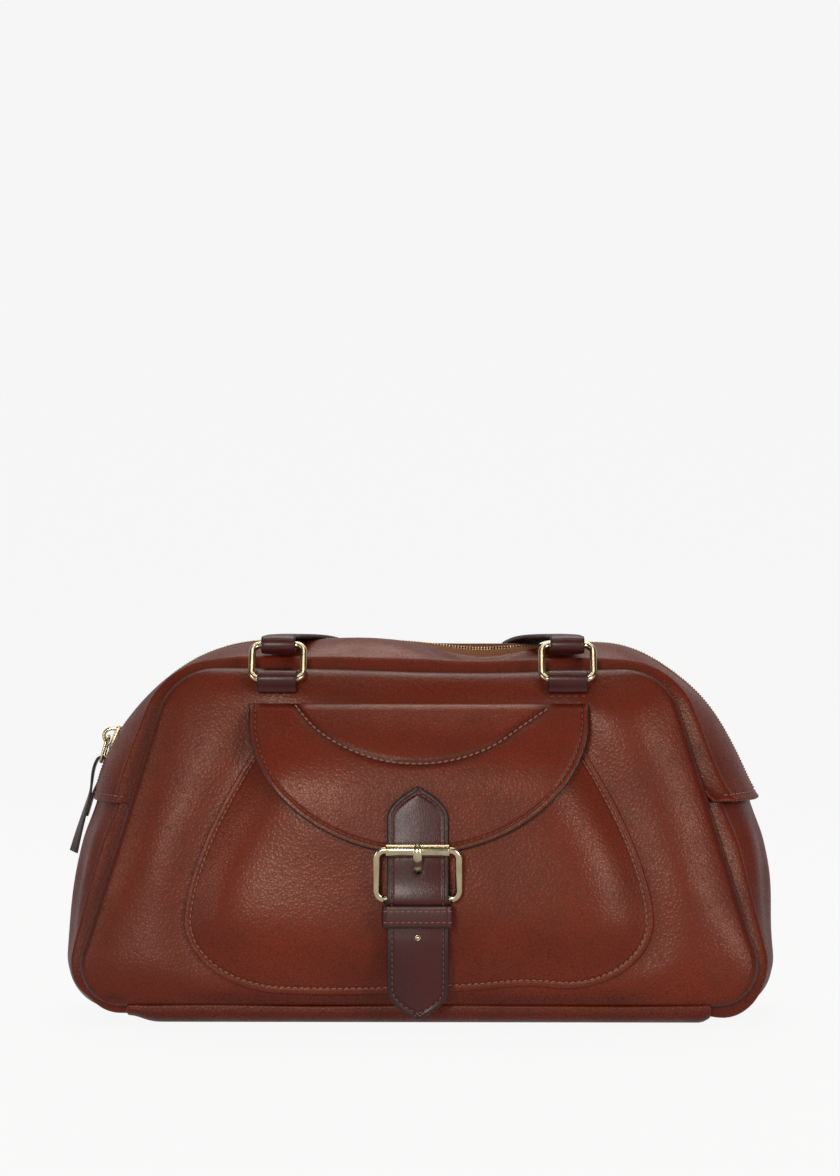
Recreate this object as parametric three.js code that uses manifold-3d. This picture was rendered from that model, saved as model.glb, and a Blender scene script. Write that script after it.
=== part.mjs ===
// A soft leather bowling bag: zipped top, buckled front pocket and two handles on metal rings.
// Millimetres, +X to the right and -Y towards the viewer when the pocket is seen, +Z up.
// The origin is the middle of the base, on the surface that the bag stands on.
import * as THREE from "three";
import { mergeVertices } from "three/addons/utils/BufferGeometryUtils.js";
import Module from "manifold-3d";

const wasm = await Module();
wasm.setup();

// Clearance between neighbouring pieces and inside the folds round a ring, and the leathers
const GAP = 0.4;
const FOLD_GAP = 0.9;
const WALL = 2;
const TAB_LEATHER = 1.6;
const HANDLE_LEATHER = 2.2;
const STRAP_LEATHER = 2.4;
const THIN_LEATHER = 1.2;

// Front and back panels: a trapezoid with round corners, swollen between its seams
const PANEL = {
  bottomZ: 8.7,
  topZ: 171.6,
  bottomHalf: 176,
  topHalf: 120.4,
  lowRadius: 23,
  topRadius: 30,
  seamBottom: 62,
  seamTop: 48,
  crown: 10,
  crownReach: 14,
  edgeRoll: 4,
};

// Middle line of the gusset, halfway between the two panels
const SPINE = {
  bottomZ: 2.5,
  topZ: 183,
  bottomHalf: 178.3,
  topHalf: 149.6,
  bottomRadius: 24,
  topRadius: 86,
};

// Gusset leather between the panel seams: arched across, with a soft roll beside each seam
const GUSSET = {
  archPower: 2.4,
  seamInset: 1.1,
  rollAt: 4.5,
  rollWidth: 2.6,
  rollHeight: 1.6,
  seamTuck: 2.4,
};

// Hem of the upper gusset, and how the lower gusset is tucked in under it
const HEM = {
  z: 106.7,
  leftFlare: 0.6,
  rightFlare: 6,
  reach: 9,
  tuckFrom: 98.5,
  tuckTo: 105.5,
  tuck: 6,
  lowerTop: 115.7,
};
const SIDE_SWELL = { fromZ: 22, toZ: 108, left: 3, right: 5.2 };

// Soft waves along the top: middle, how wide they are each way, and how high
const TOP_WAVES = [
  { x: -26, spread: 28, y: -20, reach: 24, lift: 4 },
  { x: 28, spread: 30, y: -25, reach: 12, lift: -5 },
  { x: 6, spread: 16, y: 10, reach: 26, lift: -2.6 },
  { x: -82, spread: 26, y: 0, reach: 30, lift: 1.5 },
  { x: -137, spread: 16, y: 0, reach: 40, lift: -2.4 },
  { x: 106, spread: 24, y: 0, reach: 40, lift: 2.4 },
];
const WAVE_EDGE_POWER = 4;

// Upright folds in the lower gussets: place across, sideways drift per mm of height, width and depth
const SIDE_FOLDS = [
  { across: -0.52, drift: 0.0022, width: 0.11, sink: 3.2 },
  { across: -0.78, drift: 0.0012, width: 0.07, sink: -1.4 },
  { across: 0.5, drift: -0.002, width: 0.12, sink: 3 },
];
const FOLD_MIDDLE = { z: 66, spread: 34 };

// Base: a leather boot with a low rim at front and back
const BASE = { halfLength: 141, rimInside: 62.5, rimTop: 8.2, bend: 5, tuckedEnd: 130 };

// Zip: the opening between the leather edges, the cloth tapes under them, and the row of teeth
const ZIP = {
  halfOpening: 7,
  tapeInner: 3.2,
  tapeOuter: 10.4,
  tapeSink: 3.6,
  tape: 0.8,
  chainHalf: 2.8,
  chainSink: 1.4,
  chain: 2.6,
  endInset: 0.018,
};
const SLIDER = {
  z: 136,
  halfWidth: 4.4,
  noseHalf: 2.4,
  length: 12,
  below: 0.8,
  above: 1.6,
  bailHalf: 4.2,
  bailRise: 5.4,
  bailWire: 0.9,
};
const PULL_RING = { width: 12, length: 13, wire: 0.8, corner: 3.2, ahead: 0.6, standOff: 3.8, lean: 0.12 };

// Leather puller: its outer layer, from the ring down, and where the inner layer ends
const PULLER = { halfWidth: 4.6, shortEnd: 97 };
const PULLER_FALL = [
  { x: -165, z: 107 },
  { x: -168, z: 97 },
  { x: -170.6, z: 88 },
  { x: -173, z: 79 },
];

// Pocket: narrow under the flap, wide and round at the bottom, sewn down along a flat edge
const POCKET = {
  bottomZ: 17.8,
  wideZ: 50.6,
  topZ: 145,
  bottomHalf: 66,
  wideHalf: 112,
  taper: 42,
  taperPower: 1.58,
  edge: 2.6,
  edgeWidth: 4,
  bulge: 11,
  bulgeReach: 15,
  bulgePower: 1.5,
  fadeFrom: 84,
};

// Flap: straight along the top, round below
const FLAP = {
  topZ: 154.6,
  sideZ: 146,
  half: 81,
  drop: 61.8,
  round: 1.85,
  tipCut: 0.8,
  topLift: 2.6,
  lift: 5.6,
  spread: 110,
  spreadPower: 6,
};

// Closure: strap, roller buckle, its leather holder, keeper and rivet
const STRAP = {
  topZ: 115.4,
  bottomZ: 5.1,
  half: 14.5,
  topPoint: 20,
  bottomPoint: 16.5,
  tipHalf: 1.2,
  offFlapZ: 89.4,
  offFlapGap: 0.8,
  endLean: 6,
};
const BUCKLE = { half: 19.7, wire: 1.8, lowBarZ: 62.3, topBarZ: 85.8, corner: 4.5 };
const ROLLER = { outer: 3, inner: 2.2, half: 16 };
const PRONG = { half: 2, thickness: 1.4, tipZ: 88.6, tipDip: 0.5, overRoller: 1 };
const PRONG_HOLE = { half: 2.5, lowZ: 62.5, topZ: 80 };
const HOLDER = { half: 12, lowZ: 36, frontLowZ: 44, slotHalf: 2.6, slotLowZ: 55.9 };
const KEEPER = { z: 53.2, half: 16.9, height: 10, corner: 2 };
const RIVET = { z: 43.8, radius: 1.6, height: 1, shoulderRadius: 1.3, shoulder: 0.7 };

// Where the prong is between the low bar (0) and the roller (1), up the hole in the strap (0 to 1)
const PRONG_RISE = [
  { out: 0.06, up: 0.17 },
  { out: 0.5, up: 0.5 },
  { out: 0.93, up: 1 },
];

// Handle rings, the tabs that hold them and the two handles
const RING = { x: 70.2, width: 25, height: 20.2, wire: 1.7, corner: 4.2, barY: 60.8, barZ: 166.4 };
const RINGS_OFFSET = 1.8;
const TAB = { half: 9.6, lowZ: 160.3 };
const FRONT_RING_LEAN = THREE.MathUtils.degToRad(-36);
const REAR_BAR = { y: 69.2, z: 147.7 };
const HANDLE = { half: 8.3, shortEnd: 12, pinch: 0.6, steps: 24 };

// Half of each handle from its ring to its middle, with the way its outer face looks (0 up, 90 back)
const FRONT_HANDLE_FALL = [
  { x: 69, y: -35, z: 186.4, face: 2 },
  { x: 64, y: -19, z: 186, face: 3 },
  { x: 57, y: 2, z: 185.4, face: 5 },
  { x: 50, y: 26, z: 183.4, face: 12 },
  { x: 45, y: 46, z: 178.8, face: 34 },
  { x: 41, y: 59.4, z: 167.4, face: 66 },
  { x: 35.5, y: 65, z: 153, face: 80 },
  { x: 24, y: 67.4, z: 141, face: 86 },
  { x: 0, y: 68.6, z: 133.5, face: 88 },
];
const REAR_HANDLE_FALL = [
  { x: 70.2, y: 72, z: 130, face: 90 },
  { x: 70.2, y: 71.2, z: 110, face: 90 },
  { x: 69.2, y: 72, z: 90, face: 90 },
  { x: 65.8, y: 73.6, z: 68, face: 90 },
  { x: 57, y: 74.8, z: 47, face: 90 },
  { x: 40, y: 75, z: 31, face: 90 },
  { x: 20, y: 74.4, z: 23, face: 90 },
  { x: 0, y: 74.2, z: 20.5, face: 90 },
];

// Grids: how the walls, folds and round pieces are divided
const PANEL_ROWS = 12;
const PANEL_COLUMNS = 18;
const STRIP_ROWS = 36;
const STRIP_COLUMNS = [0, 0.05, 0.11, 0.22, 0.45, 0.72, 1];
const SIDE_ROWS = 14;
const SIDE_COLUMNS = [-1, -0.96, -0.92, -0.82, -0.66, -0.5, -0.2, 0.2, 0.5, 0.7, 0.84, 0.92, 0.96, 1];
const POCKET_CORNER_ROWS = 6;
const POCKET_SIDE_ROWS = 7;
const POCKET_COLUMNS = 14;
const FLAP_ROWS = 10;
const FLAP_COLUMNS = 14;
const STRAP_POINT_STEPS = [0, 0.06, 0.18, 0.38, 0.63, 1];
const STRAP_ROWS = 17;
const HOLDER_STEPS = [0, 0.2, 0.4, 0.6, 0.8, 0.95];
const FOLD_TURN = [0, 30, 60, 90, 120, 150, 180];
const HOOK_TURN = [-150, -110, -70, -30, 10, 50, 90];
const PULLER_TURN = [-90, -45, 0, 45, 90];
const BAIL_STEPS = 8;
const CORNER_STEPS = 3;
const BEND_STEPS = 5;
const NOSE_STEPS = 4;
const WIRE_SIDES = 6;
const BUCKLE_SIDES = 8;
const ROLLER_SIDES = 14;
const RIVET_SIDES = 12;
const HALVINGS = 40;
const CUT_MARGIN = 20;

const clamp01 = (t) => THREE.MathUtils.clamp(t, 0, 1);
const smooth = (t) => clamp01(t) ** 2 * (3 - 2 * clamp01(t));
const lerp = THREE.MathUtils.lerp;
const bell = (t) => Math.exp(-t * t);
const vector = (x, y, z) => new THREE.Vector3(x, y, z);

// Numbers from -1 to 1 that crowd towards both ends
function crowded(count) {
  return Array.from({ length: count + 1 }, (_, i) => -Math.cos((Math.PI * i) / count));
}

// A path through corners of the XZ plane, each rounded to its radius
function roundedPath(corners) {
  const points = corners.map(({ x, z }) => new THREE.Vector2(x, z));
  const path = new THREE.Path();
  path.moveTo(points[0].x, points[0].y);
  for (let i = 1; i < points.length - 1; i += 1) {
    const corner = points[i];
    const { r } = corners[i];
    const back = points[i - 1].clone().sub(corner).normalize();
    const ahead = points[i + 1].clone().sub(corner).normalize();
    const half = Math.acos(back.dot(ahead)) / 2;
    const middle = back.clone().add(ahead).normalize();
    const centre = corner.clone().addScaledVector(middle, r / Math.sin(half));
    const start = corner.clone().addScaledVector(back, r / Math.tan(half));
    const from = start.clone().sub(centre);
    const to = corner.clone().addScaledVector(ahead, r / Math.tan(half)).sub(centre);
    path.lineTo(start.x, start.y);
    path.absarc(centre.x, centre.y, r, from.angle(), to.angle(), back.cross(ahead) > 0);
  }
  const last = points[points.length - 1];
  path.lineTo(last.x, last.y);
  return path;
}

// How far along a rising path it reaches a height
function fractionAt(path, height) {
  let low = 0;
  let high = 1;
  for (let i = 0; i < HALVINGS; i += 1) {
    const middle = (low + high) / 2;
    if (path.getPoint(middle).y < height) low = middle;
    else high = middle;
  }
  return high;
}

// Triangles between two rings of points, and over the ends, from an index list
function meshGeometry(points, faces) {
  const geometry = new THREE.BufferGeometry();
  geometry.setAttribute("position", new THREE.Float32BufferAttribute(points.flatMap((p) => p.toArray()), 3));
  geometry.setIndex(faces);
  geometry.computeVertexNormals();
  return geometry;
}

// A wall of even thickness behind a grid of outer points: rows go up, columns go right, seen from outside
function wallGeometry(rows, thickness) {
  const height = rows.length;
  const width = rows[0].length;
  const inside = rows.map((row, i) =>
    row.map((point, j) => {
      const up = rows[Math.min(i + 1, height - 1)][j].clone().sub(rows[Math.max(i - 1, 0)][j]);
      const right = row[Math.min(j + 1, width - 1)].clone().sub(row[Math.max(j - 1, 0)]);
      return point.clone().addScaledVector(right.cross(up).normalize(), -thickness);
    }),
  );
  const points = [...rows.flat(), ...inside.flat()];
  const outer = (i, j) => i * width + j;
  const inner = (i, j) => height * width + outer(i, j);
  const faces = [];
  for (let i = 0; i < height - 1; i += 1) {
    for (let j = 0; j < width - 1; j += 1) {
      const [a, b, c, d] = [outer(i, j), outer(i, j + 1), outer(i + 1, j + 1), outer(i + 1, j)];
      faces.push(a, b, c, a, c, d);
      const [e, f, g, h] = [inner(i, j), inner(i, j + 1), inner(i + 1, j + 1), inner(i + 1, j)];
      faces.push(e, g, f, e, h, g);
    }
  }
  const edge = [];
  for (let j = 0; j < width - 1; j += 1) edge.push([0, j]);
  for (let i = 0; i < height - 1; i += 1) edge.push([i, width - 1]);
  for (let j = width - 1; j > 0; j -= 1) edge.push([height - 1, j]);
  for (let i = height - 1; i > 0; i -= 1) edge.push([i, 0]);
  edge.forEach((from, k) => {
    const to = edge[(k + 1) % edge.length];
    faces.push(outer(...to), outer(...from), inner(...from), outer(...to), inner(...from), inner(...to));
  });
  return meshGeometry(points, faces);
}

// A section carried along a path: each ring of points turns anticlockwise about the way ahead
function sweepGeometry(rings, closed) {
  const sides = rings[0].length;
  const faces = [];
  const last = closed ? rings.length : rings.length - 1;
  for (let i = 0; i < last; i += 1) {
    const here = i * sides;
    const next = ((i + 1) % rings.length) * sides;
    for (let k = 0; k < sides; k += 1) {
      const turn = (k + 1) % sides;
      faces.push(here + k, here + turn, next + turn, here + k, next + turn, next + k);
    }
  }
  if (!closed) {
    const end = (rings.length - 1) * sides;
    for (let k = 1; k < sides - 1; k += 1) {
      faces.push(0, k + 1, k);
      faces.push(end, end + k, end + k + 1);
    }
  }
  return meshGeometry(rings.flat(), faces);
}

// The way ahead at each of a list of points
function directions(points, closed) {
  const count = points.length;
  return points.map((_, i) => {
    const before = closed ? (i + count - 1) % count : Math.max(i - 1, 0);
    const after = closed ? (i + 1) % count : Math.min(i + 1, count - 1);
    return points[after].clone().sub(points[before]).normalize();
  });
}

// A flat strap along stations { at, face, half }, where face is the way its outer side looks
function strapGeometry(stations, thickness, closed = false) {
  const ahead = directions(stations.map((station) => station.at), closed);
  const rings = stations.map(({ at, face, half }, i) => {
    const side = face.clone().cross(ahead[i]).normalize();
    const out = ahead[i].clone().cross(side).normalize();
    const across = side.multiplyScalar(half);
    const through = out.multiplyScalar(thickness / 2);
    const corner = (a, b) => at.clone().addScaledVector(across, a).addScaledVector(through, b);
    return [corner(1, 1), corner(-1, 1), corner(-1, -1), corner(1, -1)];
  });
  return sweepGeometry(rings, closed);
}

// Round wire along points that lie in one plane
function wireGeometry(points, planeNormal, radius, sides, closed) {
  const ahead = directions(points, closed);
  const rings = points.map((point, i) => {
    const side = planeNormal.clone().cross(ahead[i]).normalize();
    return Array.from({ length: sides }, (_, k) => {
      const angle = (2 * Math.PI * k) / sides;
      const onSide = point.clone().addScaledVector(side, radius * Math.cos(angle));
      return onSide.addScaledVector(planeNormal, -radius * Math.sin(angle));
    });
  });
  return sweepGeometry(rings.map((ring) => ring.reverse()), closed);
}

// Points of a rectangle with round corners in the XZ plane, standing on its lower bar, turning anticlockwise
function barLoop(width, height, radius) {
  const corners = [
    { x: width / 2 - radius, z: radius, from: -90 },
    { x: width / 2 - radius, z: height - radius, from: 0 },
    { x: radius - width / 2, z: height - radius, from: 90 },
    { x: radius - width / 2, z: radius, from: 180 },
  ];
  return corners.flatMap(({ x, z, from }) =>
    Array.from({ length: CORNER_STEPS + 1 }, (_, i) => {
      const angle = THREE.MathUtils.degToRad(from + (90 * i) / CORNER_STEPS);
      return vector(x + radius * Math.cos(angle), 0, z + radius * Math.sin(angle));
    }),
  );
}

// Closed meshes to solids and back, for cuts and joins
function solidOf(geometry) {
  const bare = geometry.clone();
  bare.deleteAttribute("normal");
  bare.deleteAttribute("uv");
  const merged = mergeVertices(bare);
  const vertProperties = Float32Array.from(merged.attributes.position.array);
  const triVerts = Uint32Array.from(merged.index.array);
  return new wasm.Manifold(new wasm.Mesh({ numProp: 3, vertProperties, triVerts }));
}

function geometryOf(solid) {
  const { vertProperties, triVerts } = solid.getMesh();
  const geometry = new THREE.BufferGeometry();
  geometry.setAttribute("position", new THREE.BufferAttribute(vertProperties, 3));
  geometry.setIndex(new THREE.BufferAttribute(triVerts, 1));
  geometry.computeVertexNormals();
  return geometry;
}

function boxBetween(low, high) {
  const size = high.clone().sub(low);
  const middle = low.clone().add(high).multiplyScalar(0.5);
  return new THREE.BoxGeometry(size.x, size.y, size.z).translate(middle.x, middle.y, middle.z);
}

const leather = new THREE.MeshStandardMaterial({ color: 0x7a3422, roughness: 0.48, metalness: 0 });
const darkLeather = new THREE.MeshStandardMaterial({ color: 0x3c1614, roughness: 0.36, metalness: 0 });
const brass = new THREE.MeshStandardMaterial({ color: 0xa88a58, roughness: 0.3, metalness: 1 });
const zipCloth = new THREE.MeshStandardMaterial({ color: 0x5c2c1c, roughness: 0.85, metalness: 0 });

const bag = new THREE.Group();

function addPiece(name, geometry, material, parent = bag) {
  const piece = new THREE.Mesh(geometry, material);
  piece.name = name;
  parent.add(piece);
  return piece;
}

// Panel outline: straight sides between two round corners
const sideLean = Math.atan2(PANEL.bottomHalf - PANEL.topHalf, PANEL.topZ - PANEL.bottomZ);
const lowCorner = {
  x: PANEL.bottomHalf - PANEL.lowRadius * Math.tan((Math.PI / 2 + sideLean) / 2),
  z: PANEL.bottomZ + PANEL.lowRadius,
  r: PANEL.lowRadius,
};
const topCorner = {
  x: PANEL.topHalf - PANEL.topRadius * Math.tan((Math.PI / 2 - sideLean) / 2),
  z: PANEL.topZ - PANEL.topRadius,
  r: PANEL.topRadius,
};

function panelHalf(z) {
  const touch = (corner) => corner.z + corner.r * Math.sin(sideLean);
  const roundHalf = (corner) => corner.x + Math.sqrt(Math.max(corner.r ** 2 - (z - corner.z) ** 2, 0));
  if (z < touch(lowCorner)) return roundHalf(lowCorner);
  if (z > touch(topCorner)) return roundHalf(topCorner);
  return PANEL.bottomHalf - (z - PANEL.bottomZ) * Math.tan(sideLean);
}

function seamDepth(z) {
  return lerp(PANEL.seamBottom, PANEL.seamTop, (z - PANEL.bottomZ) / (PANEL.topZ - PANEL.bottomZ));
}

// How far out the panel's outer face is at a place on it
function panelFace(x, z) {
  const distances = [panelHalf(z) - Math.abs(x), z - PANEL.bottomZ, PANEL.topZ - z];
  let crown = PANEL.crown;
  let roll = PANEL.edgeRoll;
  distances.forEach((distance) => {
    crown *= 1 - Math.exp(-Math.max(distance, 0) / PANEL.crownReach);
    roll *= Math.sqrt(1 - (1 - clamp01(distance / PANEL.edgeRoll)) ** 2);
  });
  return seamDepth(z) + crown + roll;
}

function addPanel(name, facing) {
  const rows = crowded(PANEL_ROWS).map((v) => {
    const z = lerp(PANEL.bottomZ, PANEL.topZ, (v + 1) / 2);
    return crowded(PANEL_COLUMNS).map((u) => {
      const x = -facing * u * panelHalf(z);
      return vector(x, facing * panelFace(x, z), z);
    });
  });
  addPiece(name, wallGeometry(rows, WALL), leather);
}

addPanel("front_panel", -1);
addPanel("back_panel", 1);

// Right halves of the seam line and of the gusset's middle line, from the base to the top
const seamLine = roundedPath([
  { x: 0, z: PANEL.bottomZ },
  { x: PANEL.bottomHalf, z: PANEL.bottomZ, r: PANEL.lowRadius },
  { x: PANEL.topHalf, z: PANEL.topZ, r: PANEL.topRadius },
  { x: 0, z: PANEL.topZ },
]);
const spineLine = roundedPath([
  { x: 0, z: SPINE.bottomZ },
  { x: SPINE.bottomHalf, z: SPINE.bottomZ, r: SPINE.bottomRadius },
  { x: SPINE.topHalf, z: SPINE.topZ, r: SPINE.topRadius },
  { x: 0, z: SPINE.topZ },
]);

// A place along the gusset: its seam point, its middle point and the way out of the bag between them
function gussetStation(side, seamFraction, spineFraction) {
  const seam = seamLine.getPoint(seamFraction);
  const spine = spineLine.getPoint(spineFraction);
  const ahead = seamLine.getTangent(seamFraction).add(spineLine.getTangent(spineFraction)).normalize();
  return {
    seam: vector(side * seam.x, 0, seam.y),
    spine: vector(side * spine.x, 0, spine.y),
    out: vector(side * ahead.y, 0, -ahead.x),
    depth: seamDepth(seam.y) - GUSSET.seamInset,
  };
}

// The gusset's outer face at a station, across from -1 at the front seam to 1 at the back seam
function gussetFace({ seam, spine, out, depth }, across) {
  const arch = 1 - Math.abs(across) ** GUSSET.archPower;
  const fromSeam = (1 - Math.abs(across)) * depth;
  const roll = GUSSET.rollHeight * bell((fromSeam - GUSSET.rollAt) / GUSSET.rollWidth);
  const tuck = GUSSET.seamTuck * bell(fromSeam / GUSSET.rollWidth);
  const point = seam.clone().lerp(spine, arch).addScaledVector(out, roll - tuck);
  point.y = across * depth;
  return point;
}

const hemSeam = fractionAt(seamLine, HEM.z);
const hemSpine = fractionAt(spineLine, HEM.z);

// The upper gusset from hem to hem: along runs from -1 at the left hem to 1 at the right hem
function upperStation(along) {
  const rise = 1 - Math.abs(along);
  return gussetStation(Math.sign(along) || 1, lerp(hemSeam, 1, rise), lerp(hemSpine, 1, rise));
}

function upperFace(along, y) {
  const station = upperStation(along);
  const across = y / station.depth;
  const point = gussetFace(station, across);
  const fromHem = (1 - Math.abs(along)) * seamLine.getLength() * (1 - hemSeam);
  const flare = along < 0 ? HEM.leftFlare : HEM.rightFlare;
  point.addScaledVector(station.out, flare * Math.exp(-fromHem / HEM.reach));
  const loose = 1 - Math.abs(across) ** WAVE_EDGE_POWER;
  TOP_WAVES.forEach((wave) => {
    const size = bell((point.x - wave.x) / wave.spread) * bell((y - wave.y) / wave.reach);
    point.addScaledVector(station.out, wave.lift * loose * size);
  });
  return point;
}

function addUpperStrip(name, side) {
  const rows = Array.from({ length: STRIP_ROWS + 1 }, (_, i) => {
    const along = lerp(-1, 1, i / STRIP_ROWS);
    const { depth } = upperStation(along);
    const fromSeam = STRIP_COLUMNS.map((step) => side * lerp(depth, ZIP.halfOpening, step));
    return (side < 0 ? fromSeam.reverse() : fromSeam).map((y) => upperFace(along, y));
  });
  addPiece(name, wallGeometry(rows, WALL), leather);
}

addUpperStrip("top_gusset_front", -1);
addUpperStrip("top_gusset_rear", 1);

// Lower gussets: from under the base up to just inside the hems
function lowerFace(side, rise, across) {
  const place = (line) => lerp(BASE.tuckedEnd / line.getLength(), fractionAt(line, HEM.lowerTop), rise);
  const station = gussetStation(side, place(seamLine), place(spineLine));
  const point = gussetFace(station, across);
  const { z } = point;
  const arch = 1 - Math.abs(across) ** GUSSET.archPower;
  const swell = Math.sin(Math.PI * clamp01((z - SIDE_SWELL.fromZ) / (SIDE_SWELL.toZ - SIDE_SWELL.fromZ)));
  let shift = (side < 0 ? SIDE_SWELL.left : SIDE_SWELL.right) * swell * arch;
  shift -= HEM.tuck * smooth((z - HEM.tuckFrom) / (HEM.tuckTo - HEM.tuckFrom));
  SIDE_FOLDS.forEach((fold) => {
    const height = z - FOLD_MIDDLE.z;
    const middle = fold.across + fold.drift * height;
    shift -= fold.sink * bell((across - middle) / fold.width) * bell(height / FOLD_MIDDLE.spread);
  });
  return point.addScaledVector(station.out, shift);
}

function addSideGusset(name, side) {
  const columns = side > 0 ? SIDE_COLUMNS : [...SIDE_COLUMNS].reverse();
  const rows = Array.from({ length: SIDE_ROWS + 1 }, (_, i) =>
    columns.map((across) => lowerFace(side, i / SIDE_ROWS, across)),
  );
  addPiece(name, wallGeometry(rows, WALL), leather);
}

addSideGusset("side_gusset_left", -1);
addSideGusset("side_gusset_right", 1);

// Base: the boot's section, carried along the bag
function baseGeometry() {
  const outside = BASE.rimInside + WALL;
  const innerBend = BASE.bend - WALL;
  const section = new THREE.Shape();
  section.moveTo(-outside, BASE.rimTop);
  section.lineTo(-outside, BASE.bend);
  section.absarc(BASE.bend - outside, BASE.bend, BASE.bend, Math.PI, 1.5 * Math.PI, false);
  section.absarc(outside - BASE.bend, BASE.bend, BASE.bend, 1.5 * Math.PI, 2 * Math.PI, false);
  section.lineTo(outside, BASE.rimTop);
  section.lineTo(BASE.rimInside, BASE.rimTop);
  section.absarc(BASE.rimInside - innerBend, BASE.bend, innerBend, 2 * Math.PI, 1.5 * Math.PI, true);
  section.absarc(innerBend - BASE.rimInside, BASE.bend, innerBend, 1.5 * Math.PI, Math.PI, true);
  section.lineTo(-BASE.rimInside, BASE.rimTop);
  const settings = { depth: 2 * BASE.halfLength, bevelEnabled: false, curveSegments: BEND_STEPS };
  return new THREE.ExtrudeGeometry(section, settings).translate(0, 0, -BASE.halfLength);
}

const base = addPiece("base", baseGeometry(), leather);
base.rotation.setFromRotationMatrix(
  new THREE.Matrix4().makeBasis(vector(0, 1, 0), vector(0, 0, 1), vector(1, 0, 0)),
);

// Zip tapes and teeth, along the opening between the two upper strips
function zipStations(y, sink, half) {
  const reach = 1 - ZIP.endInset;
  return Array.from({ length: STRIP_ROWS + 1 }, (_, i) => {
    const along = lerp(-reach, reach, i / STRIP_ROWS);
    const { out } = upperStation(along);
    return { at: upperFace(along, y).addScaledVector(out, -sink), face: out, half };
  });
}

function addTape(name, side) {
  const middle = (side * (ZIP.tapeInner + ZIP.tapeOuter)) / 2;
  const half = (ZIP.tapeOuter - ZIP.tapeInner) / 2;
  const stations = zipStations(middle, ZIP.tapeSink + ZIP.tape / 2, half);
  addPiece(name, strapGeometry(stations, ZIP.tape), zipCloth);
}

addTape("zip_tape_front", -1);
addTape("zip_tape_rear", 1);
const chainStations = zipStations(0, ZIP.chainSink + ZIP.chain / 2, ZIP.chainHalf);
addPiece("zip_teeth", strapGeometry(chainStations, ZIP.chain), brass);

// Zip slider on the left: its plate, with the bail that holds the pull ring
const sliderAlong = -(1 - (fractionAt(spineLine, SLIDER.z) - hemSpine) / (1 - hemSpine));
const sliderStation = upperStation(sliderAlong);
const sliderDown = vector(-sliderStation.out.z, 0, sliderStation.out.x);
const sliderFrame = new THREE.Group();
sliderFrame.position.copy(upperFace(sliderAlong, 0));
sliderFrame.rotation.setFromRotationMatrix(
  new THREE.Matrix4().makeBasis(sliderDown, sliderStation.out.clone().cross(sliderDown), sliderStation.out),
);
bag.add(sliderFrame);

function sliderGeometry() {
  const plan = new THREE.Shape();
  plan.moveTo(-SLIDER.length / 2, -SLIDER.halfWidth);
  plan.lineTo(SLIDER.length / 6, -SLIDER.halfWidth);
  plan.quadraticCurveTo(SLIDER.length / 2, -SLIDER.halfWidth, SLIDER.length / 2, -SLIDER.noseHalf);
  plan.lineTo(SLIDER.length / 2, SLIDER.noseHalf);
  plan.quadraticCurveTo(SLIDER.length / 2, SLIDER.halfWidth, SLIDER.length / 6, SLIDER.halfWidth);
  plan.lineTo(-SLIDER.length / 2, SLIDER.halfWidth);
  plan.closePath();
  const settings = { depth: SLIDER.above + SLIDER.below, bevelEnabled: false, curveSegments: NOSE_STEPS };
  const plate = new THREE.ExtrudeGeometry(plan, settings).translate(0, 0, -SLIDER.below);
  const arch = Array.from({ length: BAIL_STEPS + 1 }, (_, i) => {
    const angle = (Math.PI * i) / BAIL_STEPS;
    const rise = SLIDER.above / 2 + SLIDER.bailRise * Math.sin(angle);
    return vector(-SLIDER.bailHalf * Math.cos(angle), 0, rise);
  });
  const bail = wireGeometry(arch, vector(0, 1, 0), SLIDER.bailWire, WIRE_SIDES, false);
  return geometryOf(solidOf(plate).add(solidOf(bail)));
}

addPiece("zip_slider", sliderGeometry(), brass, sliderFrame);

// Pull ring: a flat loop through the bail, its far bar lying down the slope
function pullRingGeometry() {
  const loop = barLoop(PULL_RING.width, PULL_RING.length, PULL_RING.corner);
  const points = loop.map((point) => vector(point.z, point.x, 0));
  return wireGeometry(points, vector(0, 0, -1), PULL_RING.wire, WIRE_SIDES, true);
}

const pullRing = addPiece("zip_pull_ring", pullRingGeometry(), brass, sliderFrame);
pullRing.position.set(PULL_RING.ahead, 0, PULL_RING.standOff);
pullRing.rotation.y = PULL_RING.lean;
sliderFrame.updateMatrixWorld(true);

// Leather puller: folded through the ring, one end shorter than the other
function pullerStations() {
  const bar = pullRing.localToWorld(vector(PULL_RING.length, 0, 0));
  const reach = PULL_RING.wire + FOLD_GAP + THIN_LEATHER / 2;
  const down = vector(PULLER_FALL[0].x, 0, PULLER_FALL[0].z).sub(bar).normalize();
  const out = vector(down.z, 0, -down.x);
  const turn = PULLER_TURN.map((degrees) => {
    const angle = THREE.MathUtils.degToRad(degrees);
    const face = out.clone().multiplyScalar(Math.sin(angle)).addScaledVector(down, -Math.cos(angle));
    return { at: bar.clone().addScaledVector(face, reach), face, half: PULLER.halfWidth };
  });
  const layer = THIN_LEATHER + GAP;
  const inner = PULLER_FALL.filter(({ z }) => z >= PULLER.shortEnd).map(({ x, z }) => ({
    at: vector(x + layer, 0, z),
    face: out.clone().negate(),
    half: PULLER.halfWidth,
  }));
  const outer = PULLER_FALL.map(({ x, z }) => ({ at: vector(x, 0, z), face: out, half: PULLER.halfWidth }));
  return [...inner.reverse(), ...turn, ...outer];
}

addPiece("zip_puller", strapGeometry(pullerStations(), THIN_LEATHER), darkLeather);

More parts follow.
